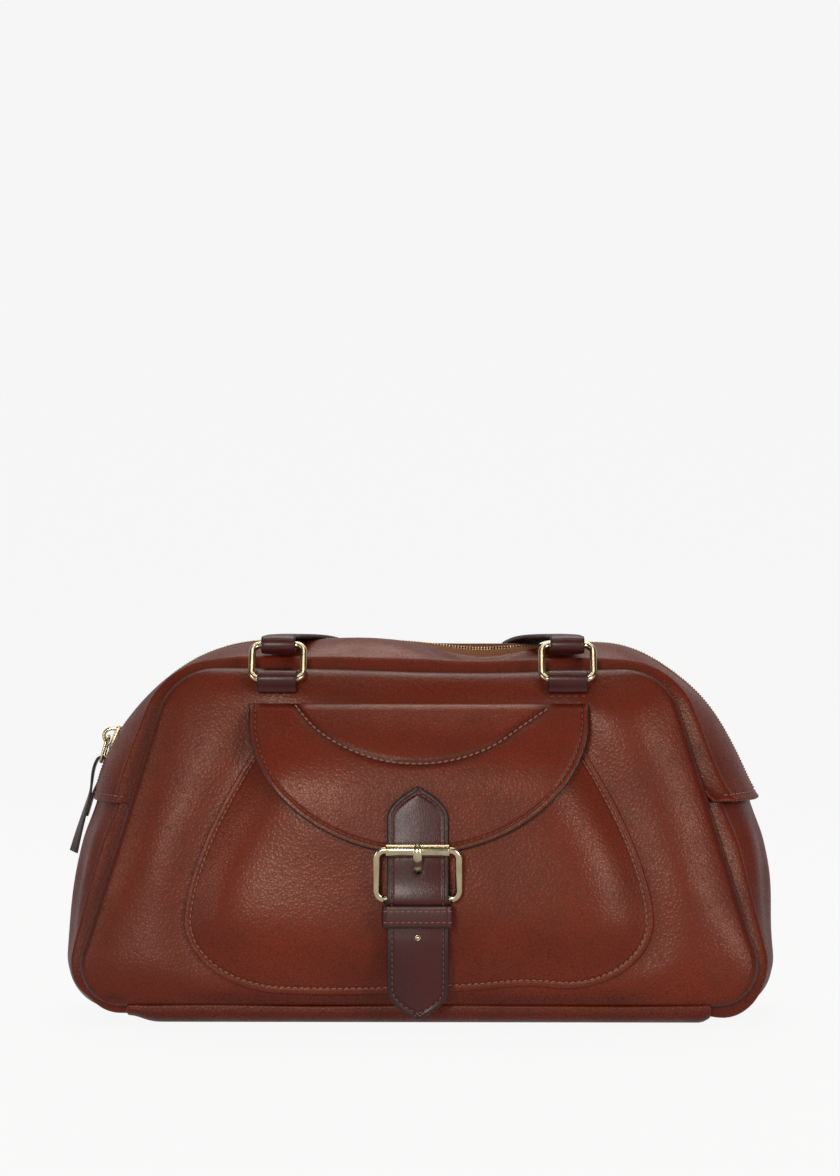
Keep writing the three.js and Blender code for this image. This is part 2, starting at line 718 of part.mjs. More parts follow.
// Pocket
function pocketHalf(z) {
  if (z < POCKET.wideZ) {
    const drop = (POCKET.wideZ - z) / (POCKET.wideZ - POCKET.bottomZ);
    return lerp(POCKET.bottomHalf, POCKET.wideHalf, Math.sqrt(Math.max(1 - drop ** 2, 0)));
  }
  const rise = (z - POCKET.wideZ) / (POCKET.topZ - POCKET.wideZ);
  return POCKET.wideHalf - POCKET.taper * rise ** POCKET.taperPower;
}

function bulgeFade(z) {
  return 1 - smooth((z - POCKET.fadeFrom) / (POCKET.topZ - POCKET.fadeFrom));
}

function pocketLift(x, z) {
  let bulge = POCKET.bulge * bulgeFade(z);
  [pocketHalf(z) - Math.abs(x), z - POCKET.bottomZ].forEach((distance) => {
    const inside = Math.max(distance - POCKET.edgeWidth, 0) / POCKET.bulgeReach;
    bulge *= 1 - Math.exp(-(inside ** POCKET.bulgePower));
  });
  return POCKET.edge + bulge;
}

function pocketFace(x, z) {
  return panelFace(x, z) + pocketLift(x, z);
}

function addPocket() {
  const heights = [];
  for (let i = 0; i < POCKET_CORNER_ROWS; i += 1) {
    const turn = (Math.PI / 2) * (i / POCKET_CORNER_ROWS);
    heights.push(lerp(POCKET.wideZ, POCKET.bottomZ, Math.cos(turn)));
  }
  for (let i = 0; i <= POCKET_SIDE_ROWS; i += 1) {
    heights.push(lerp(POCKET.wideZ, POCKET.topZ, i / POCKET_SIDE_ROWS));
  }
  const rows = heights.map((z) =>
    crowded(POCKET_COLUMNS).map((u) => {
      const x = u * pocketHalf(z);
      return vector(x, -pocketFace(x, z), z);
    }),
  );
  addPiece("pocket", wallGeometry(rows, WALL), leather);
}

addPocket();

// Flap over the pocket
function flapHalf(z) {
  const drop = Math.max(FLAP.sideZ - z, 0) / FLAP.drop;
  return FLAP.half * Math.sqrt(Math.max(1 - drop ** FLAP.round, 0));
}

function flapLift(x, z) {
  const settled = lerp(FLAP.topLift, FLAP.lift, smooth((FLAP.topZ - z) / (FLAP.topZ - FLAP.sideZ)));
  return settled + POCKET.bulge * bulgeFade(z) * (1 - (Math.abs(x) / FLAP.spread) ** FLAP.spreadPower);
}

function flapFace(x, z) {
  return panelFace(x, z) + flapLift(x, z);
}

function addFlap() {
  const lowest = FLAP.sideZ - FLAP.drop + FLAP.tipCut;
  const heights = Array.from({ length: FLAP_ROWS - 1 }, (_, i) => {
    const turn = (Math.PI / 2) * (i / (FLAP_ROWS - 2));
    return lerp(FLAP.sideZ, lowest, Math.cos(turn));
  });
  heights.push((FLAP.sideZ + FLAP.topZ) / 2, FLAP.topZ);
  const rows = heights.map((z) =>
    crowded(FLAP_COLUMNS).map((u) => {
      const x = u * flapHalf(z);
      return vector(x, -flapFace(x, z), z);
    }),
  );
  addPiece("pocket_flap", wallGeometry(rows, WALL), leather);
}

addFlap();

// Heights above the pocket of what is stacked under the strap
const wireStack = GAP + THIN_LEATHER + GAP + BUCKLE.wire;
const overBar = wireStack + BUCKLE.wire + GAP + THIN_LEATHER + GAP + STRAP_LEATHER / 2;
const keeperBack = GAP + THIN_LEATHER + GAP + THIN_LEATHER / 2;
const holderFront = keeperBack + THIN_LEATHER / 2 + GAP + THIN_LEATHER / 2;
const overHolder = holderFront + THIN_LEATHER / 2 + GAP + STRAP_LEATHER / 2;
const onPocket = (z) => pocketFace(0, z);
const onFlap = (z) => flapFace(0, z) + STRAP.offFlapGap + STRAP_LEATHER / 2;

// How far out the middle of the strap is, from where it leaves the flap to its bottom point
const strapRun = [
  { z: STRAP.offFlapZ, depth: onFlap(STRAP.offFlapZ) },
  { z: BUCKLE.lowBarZ, depth: onPocket(BUCKLE.lowBarZ) + overBar },
  { z: KEEPER.z, depth: onPocket(KEEPER.z) + overHolder },
  { z: RIVET.z, depth: onPocket(KEEPER.z) + overHolder },
  { z: STRAP.bottomZ, depth: onPocket(KEEPER.z) + overHolder - STRAP.endLean },
];

function strapDepth(z) {
  if (z >= STRAP.offFlapZ) return onFlap(z);
  const next = strapRun.findIndex((row) => row.z <= z);
  const [above, below] = [strapRun[next - 1], strapRun[next]];
  return lerp(above.depth, below.depth, smooth((above.z - z) / (above.z - below.z)));
}

function strapHalf(z) {
  const point = Math.min((STRAP.topZ - z) / STRAP.topPoint, (z - STRAP.bottomZ) / STRAP.bottomPoint);
  return Math.max(STRAP.half * (1 - (1 - clamp01(point)) ** 2), STRAP.tipHalf);
}

function strapBody() {
  const heights = STRAP_POINT_STEPS.map((step) => STRAP.topZ - step * STRAP.topPoint);
  const [from, to] = [STRAP.topZ - STRAP.topPoint, STRAP.bottomZ + STRAP.bottomPoint];
  for (let i = 1; i < STRAP_ROWS; i += 1) heights.push(lerp(from, to, i / STRAP_ROWS));
  heights.push(...[...STRAP_POINT_STEPS].reverse().map((step) => STRAP.bottomZ + step * STRAP.bottomPoint));
  const stations = heights.map((z) => ({
    at: vector(0, -strapDepth(z), z),
    face: vector(0, -1, 0),
    half: strapHalf(z),
  }));
  const hole = boxBetween(
    vector(-PRONG_HOLE.half, -strapDepth(BUCKLE.lowBarZ) - CUT_MARGIN, PRONG_HOLE.lowZ),
    vector(PRONG_HOLE.half, 0, PRONG_HOLE.topZ),
  );
  return geometryOf(solidOf(strapGeometry(stations, STRAP_LEATHER)).subtract(solidOf(hole)));
}

addPiece("pocket_strap", strapBody(), darkLeather);

// Buckle: a wire frame that leans from its low bar, under the strap, to its top bar, over it
const lowBar = vector(0, -(onPocket(BUCKLE.lowBarZ) + wireStack), BUCKLE.lowBarZ);
const topBarY = -(strapDepth(BUCKLE.topBarZ) + STRAP_LEATHER / 2 + GAP + ROLLER.outer);
const topBar = vector(0, topBarY, BUCKLE.topBarZ);
const buckleFrame = new THREE.Group();
buckleFrame.position.copy(lowBar);
buckleFrame.rotation.x = Math.atan2(lowBar.y - topBar.y, topBar.z - lowBar.z);
bag.add(buckleFrame);
const buckleHeight = topBar.distanceTo(lowBar);
const buckleLoop = barLoop(2 * BUCKLE.half, buckleHeight, BUCKLE.corner);
const buckleWire = wireGeometry(buckleLoop, vector(0, -1, 0), BUCKLE.wire, BUCKLE_SIDES, true);
addPiece("buckle_frame", buckleWire, brass, buckleFrame);

const rollerProfile = [
  new THREE.Vector2(ROLLER.inner, -ROLLER.half),
  new THREE.Vector2(ROLLER.outer, -ROLLER.half),
  new THREE.Vector2(ROLLER.outer, ROLLER.half),
  new THREE.Vector2(ROLLER.inner, ROLLER.half),
  new THREE.Vector2(ROLLER.inner, -ROLLER.half),
];
const rollerTube = new THREE.LatheGeometry(rollerProfile, ROLLER_SIDES);
const roller = addPiece("buckle_roller", rollerTube, brass, buckleFrame);
roller.position.z = buckleHeight;
roller.rotation.z = Math.PI / 2;

// Prong: a flat tongue hooked round the low bar, up through the hole in the strap and over the roller
function prongGeometry() {
  const grip = BUCKLE.wire + GAP + PRONG.thickness / 2;
  const stations = HOOK_TURN.map((degrees) => {
    const angle = THREE.MathUtils.degToRad(degrees);
    const face = vector(0, -Math.sin(angle), -Math.cos(angle));
    return { at: lowBar.clone().addScaledVector(face, grip), face };
  });
  const onRoller = topBar.y - ROLLER.outer - GAP - PRONG.thickness / 2;
  const toFront = vector(0, -1, 0);
  const rise = PRONG_RISE.map(({ out, up }) => ({
    y: lerp(lowBar.y - grip, onRoller, out),
    z: lerp(PRONG_HOLE.lowZ, PRONG_HOLE.topZ, up),
  }));
  rise.push({ y: onRoller, z: topBar.z - PRONG.overRoller }, { y: onRoller + PRONG.tipDip, z: PRONG.tipZ });
  rise.forEach(({ y, z }) => stations.push({ at: vector(0, y, z), face: toFront }));
  return strapGeometry(stations.map((row) => ({ ...row, half: PRONG.half })), PRONG.thickness);
}

addPiece("buckle_prong", prongGeometry(), brass);

// Leather holder folded round the buckle's low bar, slotted for the prong
function holderBody() {
  const grip = BUCKLE.wire + GAP + THIN_LEATHER / 2;
  const back = (z) => -(onPocket(z) + GAP + THIN_LEATHER / 2);
  const front = (z) => -(onPocket(z) + holderFront);
  const toBack = vector(0, 1, 0);
  const toFront = vector(0, -1, 0);
  const heights = HOLDER_STEPS.map((step) => lerp(HOLDER.lowZ, BUCKLE.lowBarZ, step));
  const stations = heights.map((z) => ({ at: vector(0, back(z), z), face: toBack }));
  FOLD_TURN.forEach((degrees) => {
    const angle = THREE.MathUtils.degToRad(degrees);
    const face = vector(0, Math.cos(angle), Math.sin(angle));
    stations.push({ at: lowBar.clone().addScaledVector(face, grip), face });
  });
  [KEEPER.z + KEEPER.height / 2, KEEPER.z - KEEPER.height / 2, HOLDER.frontLowZ].forEach((z) => {
    stations.push({ at: vector(0, front(z), z), face: toFront });
  });
  const strip = strapGeometry(stations.map((row) => ({ ...row, half: HOLDER.half })), THIN_LEATHER);
  const slot = boxBetween(
    vector(-HOLDER.slotHalf, lowBar.y - CUT_MARGIN, HOLDER.slotLowZ),
    vector(HOLDER.slotHalf, lowBar.y + CUT_MARGIN, BUCKLE.topBarZ),
  );
  return geometryOf(solidOf(strip).subtract(solidOf(slot)));
}

addPiece("buckle_holder", holderBody(), darkLeather);

// Keeper: a closed leather band round the strap and the front of the holder
function keeperGeometry() {
  const back = onPocket(KEEPER.z) + keeperBack;
  const proudest = strapDepth(KEEPER.z + KEEPER.height / 2);
  const front = proudest + STRAP_LEATHER / 2 + GAP + THIN_LEATHER / 2;
  const loop = barLoop(2 * KEEPER.half - THIN_LEATHER, front - back, KEEPER.corner);
  const middle = vector(0, -(back + front) / 2, KEEPER.z);
  const stations = loop.map(({ x, z }) => {
    const at = vector(x, -(back + z), KEEPER.z);
    return { at, face: at.clone().sub(middle).normalize(), half: KEEPER.height / 2 };
  });
  return strapGeometry(stations, THIN_LEATHER, true);
}

addPiece("strap_keeper", keeperGeometry(), darkLeather);

const rivetProfile = [
  new THREE.Vector2(0, 0),
  new THREE.Vector2(RIVET.radius, 0),
  new THREE.Vector2(RIVET.shoulderRadius, RIVET.shoulder),
  new THREE.Vector2(0, RIVET.height),
];
const rivet = addPiece("strap_rivet", new THREE.LatheGeometry(rivetProfile, RIVET_SIDES), brass);
rivet.position.set(0, -(strapDepth(RIVET.z) + STRAP_LEATHER / 2 + GAP), RIVET.z);
rivet.rotation.x = Math.PI;

// Ring tabs: a strip folded round the ring's bar, both ends flat on the panel
function tabGeometry(facing) {
  const grip = RING.wire + FOLD_GAP + TAB_LEATHER / 2;
  const onPanel = panelFace(RING.x, TAB.lowZ);
  const inner = onPanel + GAP + TAB_LEATHER / 2;
  const outer = inner + TAB_LEATHER + GAP;
  const bar = vector(0, facing * RING.barY, RING.barZ);
  const stations = [{ at: vector(0, facing * inner, TAB.lowZ), face: vector(0, -facing, 0) }];
  FOLD_TURN.forEach((degrees) => {
    const angle = THREE.MathUtils.degToRad(degrees);
    const face = vector(0, -facing * Math.cos(angle), Math.sin(angle));
    stations.push({ at: bar.clone().addScaledVector(face, grip), face });
  });
  stations.push({ at: vector(0, facing * outer, TAB.lowZ), face: vector(0, facing, 0) });
  return strapGeometry(stations.map((row) => ({ ...row, half: TAB.half })), TAB_LEATHER);
}

function ringGeometry() {
  const loop = barLoop(RING.width, RING.height, RING.corner);
  return wireGeometry(loop, vector(0, -1, 0), RING.wire, WIRE_SIDES, true);
}

const rearRingLean = Math.PI + Math.atan2(REAR_BAR.y - RING.barY, RING.barZ - REAR_BAR.z);
const MOUNTINGS = [
  { end: "front", facing: -1, lean: FRONT_RING_LEAN },
  { end: "rear", facing: 1, lean: rearRingLean },
];
const SIDES = [
  { label: "left", x: -RING.x },
  { label: "right", x: RING.x },
];
const carrying = new THREE.Group();
carrying.position.x = RINGS_OFFSET;
bag.add(carrying);
MOUNTINGS.forEach(({ end, facing, lean }) => {
  SIDES.forEach(({ label, x }) => {
    addPiece(`${end}_tab_${label}`, tabGeometry(facing), darkLeather, carrying).position.x = x;
    const ring = addPiece(`${end}_ring_${label}`, ringGeometry(), brass, carrying);
    ring.position.set(x, facing * RING.barY, RING.barZ);
    ring.rotation.x = lean;
  });
});

// Handles: folded round the free bars of their rings, then draped to the middle of the bag
const faceAt = (degrees) => {
  const angle = THREE.MathUtils.degToRad(degrees);
  return vector(0, Math.sin(angle), Math.cos(angle));
};

function handleGeometry(bar, firstFace, fall) {
  const grip = RING.wire + GAP + HANDLE_LEATHER / 2;
  const turn = FOLD_TURN.map((degrees) => {
    const face = faceAt(firstFace + degrees);
    return { at: bar.clone().addScaledVector(face, grip), face };
  });
  const back = faceAt(firstFace + 90).multiplyScalar(-HANDLE.shortEnd);
  const rest = faceAt(firstFace).multiplyScalar(-HANDLE.pinch);
  const shortEnd = { at: turn[0].at.clone().add(back).add(rest), face: turn[0].face };
  const run = new THREE.CatmullRomCurve3([
    turn[turn.length - 1].at,
    ...fall.map(({ x, y, z }) => vector(x, y, z)),
    vector(-fall[fall.length - 2].x, fall[fall.length - 2].y, fall[fall.length - 2].z),
  ]);
  const faces = [firstFace + 180, ...fall.map(({ face }) => face), fall[fall.length - 2].face];
  const spans = faces.length - 1;
  const drape = Array.from({ length: HANDLE.steps }, (_, i) => {
    const t = ((i + 1) / HANDLE.steps) * ((spans - 1) / spans);
    const span = Math.min(Math.floor(t * spans), spans - 1);
    const face = faceAt(lerp(faces[span], faces[span + 1], t * spans - span));
    return { at: run.getPoint(t), face };
  });
  const half = [shortEnd, ...turn, ...drape].map((row) => ({ ...row, half: HANDLE.half }));
  const mirrored = half.slice(0, -1).reverse().map((row) => ({
    ...row,
    at: vector(-row.at.x, row.at.y, row.at.z),
  }));
  return strapGeometry([...half, ...mirrored], HANDLE_LEATHER);
}

const frontRingTop = vector(
  RING.x,
  -RING.barY - RING.height * Math.sin(FRONT_RING_LEAN),
  RING.barZ + RING.height * Math.cos(FRONT_RING_LEAN),
);
const rearRingLow = vector(
  RING.x,
  RING.barY - RING.height * Math.sin(rearRingLean),
  RING.barZ + RING.height * Math.cos(rearRingLean),
);
addPiece("front_handle", handleGeometry(frontRingTop, -180, FRONT_HANDLE_FALL), darkLeather, carrying);
addPiece("rear_handle", handleGeometry(rearRingLow, -90, REAR_HANDLE_FALL), darkLeather, carrying);

export default bag;
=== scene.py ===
"""A leather bowling handbag: zipped top, buckled front pocket and two handles on metal rings."""
import math
from types import SimpleNamespace as Sizes

import bpy
import numpy as np
from mathutils import Matrix


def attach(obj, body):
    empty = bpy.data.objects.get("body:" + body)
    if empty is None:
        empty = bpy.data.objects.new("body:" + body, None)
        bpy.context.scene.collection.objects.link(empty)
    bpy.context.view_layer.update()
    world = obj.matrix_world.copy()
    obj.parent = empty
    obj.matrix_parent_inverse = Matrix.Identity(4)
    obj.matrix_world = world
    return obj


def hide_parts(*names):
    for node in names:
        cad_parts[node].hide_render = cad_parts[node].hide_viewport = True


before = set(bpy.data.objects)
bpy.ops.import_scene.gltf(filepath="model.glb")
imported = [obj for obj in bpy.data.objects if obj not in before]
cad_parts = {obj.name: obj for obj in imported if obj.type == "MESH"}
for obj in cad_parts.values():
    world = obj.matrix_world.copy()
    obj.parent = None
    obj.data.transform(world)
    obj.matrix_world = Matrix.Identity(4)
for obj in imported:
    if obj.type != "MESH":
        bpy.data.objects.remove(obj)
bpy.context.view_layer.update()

# Sizes in millimetres: X to the right, the pocket faces -Y, Z up from the surface the bag stands on
MM = 0.001
PANEL = Sizes(bottom_z=8.7, top_z=171.6, bottom_half=171, top_half=120.4, low_radius=20, top_radius=30,
              seam_bottom=62, seam_top=48, crown=10, crown_reach=14, edge_roll=4, edge_fade=25, leather=1.9)
# A small dent at the front panel's lower-left corner, also darkened there with painted shade.
CREASE = Sizes(x=-147.5, z=12.4, wide=7, high=2.2, depth=1.8)
# How the panels are darkened with painted shade: along their seams and bottom edge, below the pocket and
# along the front's top band.
PANEL_PAINTED_SHADE = Sizes(seam=3.6, below=1.6, low=0.75, low_z=20, low_fade=8, low_half=125, top=0.34, top_z=148,
                    top_fade=10, top_half=105, side_fade=30)
TOP_SAG = Sizes(x=26, spread=62, drop=2.4, reach=32)
SPINE = Sizes(bottom_z=2.5, top_z=183, bottom_half=178.3, top_half=149.6, bottom_radius=24, top_radius=86)
# Beside their seams the gussets are darkened with painted shade over a reach of 2.6 mm.
GUSSET = Sizes(arch_power=2.4, seam_inset=1.1, roll_at=4.4, roll_width=2.8, roll_height=3.4, seam_tuck=3.4,
               press=2.6, level_reach=16, leather=1.9)
HEM = Sizes(z=106.7, left_flare=0.6, right_flare=6, reach=9, tuck_from=84, tuck_to=105.5, left_tuck=1.6,
            right_tuck=1.8, hidden_tuck=3, lower_top=115.7, shade=6)
SIDE_SWELL = Sizes(from_z=22, left_to=108, right_to=135, left=3, right=5.2)
TOP_WAVES = [(-26, 28, -20, 24, 4), (28, 30, -27, 12, -2.5), (33, 26, -15, 14, -9.4), (-82, 26, 0, 30, 1.5),
             (-137, 16, 0, 40, -2.4), (106, 24, 0, 40, 2.4)]
SIDE_FOLDS = [(-0.42, 0.003, 0.16, 1.8), (-0.68, 0.002, 0.1, -0.8), (0.5, -0.002, 0.12, 3)]
FOLD_MIDDLE = Sizes(z=74, spread=32)
ROLL_SAGS = [(-1, 161, 8, -1.6), (1, 151, 13, 2.2)]
SAG = Sizes(from_z=22, fade=12, from_seam=5.5, reach=5)
# The whole base is darkened by 0.6 with painted shade, as under the pocket's overhang.
BASE = Sizes(half_length=141, outside=64.8, rim_top=9.2, bend_in=12, bend_up=6.4, tucked_end=130,
             rim_wave=0.35, leather=1.9, press=0.6, steps=120)
BASE_ENDS = [(-1, 18, 0.36), (1, 5, 0.2)]
ZIP = Sizes(half_opening=7, tape_inner=1.4, tape_outer=10.4, tape_sink=2.2, tape=0.8, chain_sink=-0.3,
            end_inset=0.018, pitch=1.45, tooth_long=1.0, tooth_wide=4.0, tooth_high=2.5, offset=0.95,
            stitch_inset=3, stitch_sink=0.34, line_below=0.9, points=300, rows=8)
SLIDER = Sizes(z=136, half_width=4.4, nose_half=2.4, length=12, below=0.8, above=1.6, bail_half=4.2,
               bail_rise=5.4, bail_wire=0.9, centre=-0.4, taper_reach=5, crown=0.15)
PULL_RING = Sizes(width=12, length=13, wire=0.8, corner=3.2, ahead=0.6, stand_off=3.8, lean=0.12)
PULLER = Sizes(half=4.6, leather=1.2, short_end=97, fold_gap=0.9, turn=28)
PULLER_FALL = [(-165, 107), (-168, 97), (-170.6, 88), (-173, 79)]
POCKET = Sizes(bottom_z=17.8, wide_z=50.6, top_z=145, bottom_half=66, wide_half=112, taper=42,
               taper_power=1.58, edge=2.3, edge_width=3.2, bulge=11, bulge_reach=19, bulge_power=1.1,
               fade_from=112, leather=1.7)
POCKET_SAGS = [(-40, 45, -2), (52, 20, 2.1)]
VALLEY = Sizes(depth=2.2, reach=13)
FLAP = Sizes(top_z=154.6, side_z=146, half=81, drop=61.8, round=1.85, lift=5.2, spread=110,
             spread_power=6, fold=3.4, leather=1.8)
STRAP = Sizes(top_z=115.4, bottom_z=5.1, half=14.5, top_point=15, bottom_point=15, tip_half=0.6,
              off_flap_z=89.4, off_flap_gap=0.8, end_lean=6, leather=2.4, dome=0.5, dome_inset=3.4)
BUCKLE = Sizes(half=19.7, wire=1.75, low_z=62.3, top_z=85.8, corner=4.2)
ROLLER = Sizes(outer=3.1, inner=2.2, half=15.2)
PRONG = Sizes(half=2.2, thick=1.6, hole_z=76.2, hole_half=2.9, hole_high=3.0, rise_z=67, tip_z=88.4,
              tip_steps=8)
THIN = 1.2
GAP = 0.4
HOLDER = Sizes(half=12, low_z=36, front_low_z=44)
KEEPER = Sizes(z=54.3, half=16.9, height=10.4, corner=2.2)
RIVET = Sizes(z=44.2, radius=1.1, height=0.9)
RING = Sizes(x=70.2, width=25, height=20.2, wire=1.7, corner=4.2, bar_y=60.8, bar_z=166.4, offset=1.8,
             front_lean=math.radians(-36), rear_y=69.2, rear_z=147.7)
TAB = Sizes(half=9.6, low_z=160.3, leather=1.6, fold_gap=0.9)
HANDLE = Sizes(half=8.3, leather=2.2, short_end=12, pinch=3.2)
FRONT_FALL = [(69, -35, 186.5, 0), (64, -19, 186.4, 2), (57, 2, 185.8, 5.5), (50, 26, 183.6, 12.5),
              (45, 46, 178.8, 34), (41, 59.4, 167.4, 66), (35.5, 65, 153, 80), (24, 67.4, 141, 86),
              (0, 68.6, 133.5, 88)]
REAR_FALL = [(70.2, 72, 130, 90), (70.2, 71.2, 110, 90), (69.2, 72, 90, 90), (65.8, 73.6, 68, 90),
             (57, 74.8, 47, 90), (40, 75, 31, 90), (20, 74.4, 23, 90), (0, 74.2, 20.5, 90)]
STITCH = Sizes(inset=2.3, pitch=3.1, length=2.5, width=0.78, groove=0.32, groove_width=0.75)


def clamp01(t):
    return np.clip(t, 0.0, 1.0)


def smooth(t):
    t = clamp01(t)
    return t * t * (3 - 2 * t)


def bell(t):
    return np.exp(-t * t)


def lerp(a, b, t):
    return a + (b - a) * t


def unit(v):
    return v / np.maximum(np.linalg.norm(v, axis=-1, keepdims=True), 1e-12)


def crowded(count):
    """Numbers from -1 to 1 that crowd towards both ends."""
    return -np.cos(np.pi * np.arange(count + 1) / count)


def uneven(a, b, seed, span, height):
    """Soft hills over two lengths, as worked leather has."""
    draw = np.random.default_rng(seed)
    total = 0.0
    for _ in range(6):
        turn, phase = draw.uniform(0, 2 * np.pi, 2)
        wave = span * draw.uniform(0.7, 1.6)
        total = total + np.sin(2 * np.pi * (a * np.cos(turn) + b * np.sin(turn)) / wave + phase)
    return height * total / 2.5


class RoundedPath:
    """A path through corners of the XZ plane, each rounded to its radius, read by its length."""

    def __init__(self, corners):
        points = [np.array(corners[0][:2], float)]
        for before, here, after in zip(corners, corners[1:], corners[2:]):
            corner = np.array(here[:2], float)
            back = unit(np.array(before[:2], float) - corner)
            ahead = unit(np.array(after[:2], float) - corner)
            half = math.acos(float(back @ ahead)) / 2
            middle = unit(back + ahead)
            centre = corner + middle * here[2] / math.sin(half)
            start = corner + back * here[2] / math.tan(half) - centre
            end = corner + ahead * here[2] / math.tan(half) - centre
            first = math.atan2(start[1], start[0])
            sweep = (math.atan2(end[1], end[0]) - first + math.pi) % (2 * math.pi) - math.pi
            for turn in first + sweep * np.linspace(0, 1, 200):
                points.append(centre + here[2] * np.array([math.cos(turn), math.sin(turn)]))
        points.append(np.array(corners[-1][:2], float))
        self.points = np.array(points)
        steps = np.linalg.norm(np.diff(self.points, axis=0), axis=1)
        self.places = np.concatenate([[0], np.cumsum(steps)])
        self.length = self.places[-1]

    def at(self, fraction):
        place = np.asarray(fraction) * self.length
        return np.stack([np.interp(place, self.places, self.points[:, k]) for k in (0, 1)], -1)

    def tangent(self, fraction):
        fraction = np.asarray(fraction)
        step = 0.5 / self.length
        return unit(self.at(clamp01(fraction + step)) - self.at(clamp01(fraction - step)))

    def fraction_at(self, height):
        return float(np.interp(height, self.points[:, 1], self.places) / self.length)


def resampled(points, spacing, closed=False):
    """The same line with its points an even distance apart."""
    if closed:
        points = np.vstack([points, points[:1]])
    places = np.concatenate([[0], np.cumsum(np.linalg.norm(np.diff(points, axis=0), axis=1))])
    count = max(int(round(places[-1] / spacing)), 2)
    at = np.linspace(0, places[-1], count + 1)
    even = np.stack([np.interp(at, places, points[:, k]) for k in range(points.shape[1])], -1)
    return even[:-1] if closed else even


def eased(stations, spacing):
    """A smooth line through stations whose columns are a place and anything carried along with it."""
    stations = np.asarray(stations, float)
    places = np.concatenate([[0], np.cumsum(np.linalg.norm(np.diff(stations[:, :3], axis=0), axis=1))])
    slopes = np.gradient(stations, places, axis=0)
    at = np.linspace(0, places[-1], int(places[-1] / spacing) + 2)
    span = np.clip(np.searchsorted(places, at, side="right") - 1, 0, len(places) - 2)
    width = (places[span + 1] - places[span])[:, None]
    t = ((at - places[span]) / width[:, 0])[:, None]
    a, b = stations[span], stations[span + 1]
    da, db = slopes[span] * width, slopes[span + 1] * width
    leaving = a * (2 * t**3 - 3 * t**2 + 1) + da * (t**3 - 2 * t**2 + t)
    return leaving + b * (3 * t**2 - 2 * t**3) + db * (t**3 - t**2)


def line_distance(a, b, line):
    """How far each place on a flat pattern is from a line drawn on it."""
    flat = np.stack([a.ravel(), b.ravel()], -1)
    start, step = line[:-1], np.diff(line, axis=0)
    nearest = np.full(len(flat), np.inf)
    for low in range(0, len(flat), 2000):
        part = flat[low:low + 2000, None, :] - start[None]
        t = clamp01((part * step).sum(-1) / np.maximum((step * step).sum(-1), 1e-12))
        gap = part - t[..., None] * step[None]
        nearest[low:low + 2000] = np.sqrt((gap * gap).sum(-1).min(-1))
    return nearest.reshape(a.shape)


def inset_line(line, distance):
    """A line drawn inside an outline whose inside is on its left."""
    ahead = unit(np.gradient(line, axis=0))
    return line + distance * np.stack([-ahead[:, 1], ahead[:, 0]], -1)


# Front and back panels
SIDE_LEAN = math.atan2(PANEL.bottom_half - PANEL.top_half, PANEL.top_z - PANEL.bottom_z)
LOW_CORNER = Sizes(x=PANEL.bottom_half - PANEL.low_radius * math.tan((math.pi / 2 + SIDE_LEAN) / 2),
                   z=PANEL.bottom_z + PANEL.low_radius, radius=PANEL.low_radius, way=-1)
TOP_CORNER = Sizes(x=PANEL.top_half - PANEL.top_radius * math.tan((math.pi / 2 - SIDE_LEAN) / 2),
                   z=PANEL.top_z - PANEL.top_radius, radius=PANEL.top_radius, way=1)


def panel_half(z):
    half = PANEL.bottom_half - (z - PANEL.bottom_z) * math.tan(SIDE_LEAN)
    for corner in (LOW_CORNER, TOP_CORNER):
        touch = corner.z + corner.radius * math.sin(SIDE_LEAN)
        rounded = corner.x + np.sqrt(np.maximum(corner.radius**2 - (z - corner.z) ** 2, 0))
        half = np.where(corner.way * (z - touch) > 0, rounded, half)
    return half


def top_sag(x, z):
    """How far the top edge hangs below its drawn line."""
    hang = bell((x - TOP_SAG.x) / TOP_SAG.spread)
    return TOP_SAG.drop * hang * smooth((z - PANEL.top_z) / TOP_SAG.reach + 1)


def seam_depth(z):
    return lerp(PANEL.seam_bottom, PANEL.seam_top, (z - PANEL.bottom_z) / (PANEL.top_z - PANEL.bottom_z))


def panel_face(x, z):
    crown = PANEL.crown
    roll = PANEL.edge_roll
    for distance in (panel_half(z) - np.abs(x), z - PANEL.bottom_z, PANEL.top_z - z):
        crown = crown * (1 - np.exp(-np.maximum(distance, 0) / PANEL.crown_reach))
        roll = roll * np.sqrt(np.maximum(1 - (1 - clamp01(distance / PANEL.edge_roll)) ** 2, 0))
    return seam_depth(z) + crown + roll


def panel_edge_fade(x, z):
    gaps = (panel_half(z) - np.abs(x), z - PANEL.bottom_z, PANEL.top_z - z)
    return smooth(np.minimum(np.minimum(gaps[0], gaps[1]), gaps[2]) / PANEL.edge_fade)


# Pocket and flap
def pocket_half(z):
    drop = (POCKET.wide_z - z) / (POCKET.wide_z - POCKET.bottom_z)
    corner = lerp(POCKET.bottom_half, POCKET.wide_half, np.sqrt(np.maximum(1 - drop**2, 0)))
    rise = clamp01((z - POCKET.wide_z) / (POCKET.top_z - POCKET.wide_z))
    return np.where(z < POCKET.wide_z, corner, POCKET.wide_half - POCKET.taper * rise**POCKET.taper_power)


def pocket_rows():
    turn = np.linspace(0, np.pi / 2, 45)[:-1]
    corner = lerp(POCKET.wide_z, POCKET.bottom_z, np.cos(turn))
    return np.concatenate([corner, np.linspace(POCKET.wide_z, POCKET.top_z, 66)])


def pocket_outline():
    z = pocket_rows()
    half = pocket_half(z)
    left = np.stack([-half, z], -1)[::-1]
    right = np.stack([half, z], -1)
    return resampled(np.vstack([left, right]), 1.0)


POCKET_OUTLINE = pocket_outline()


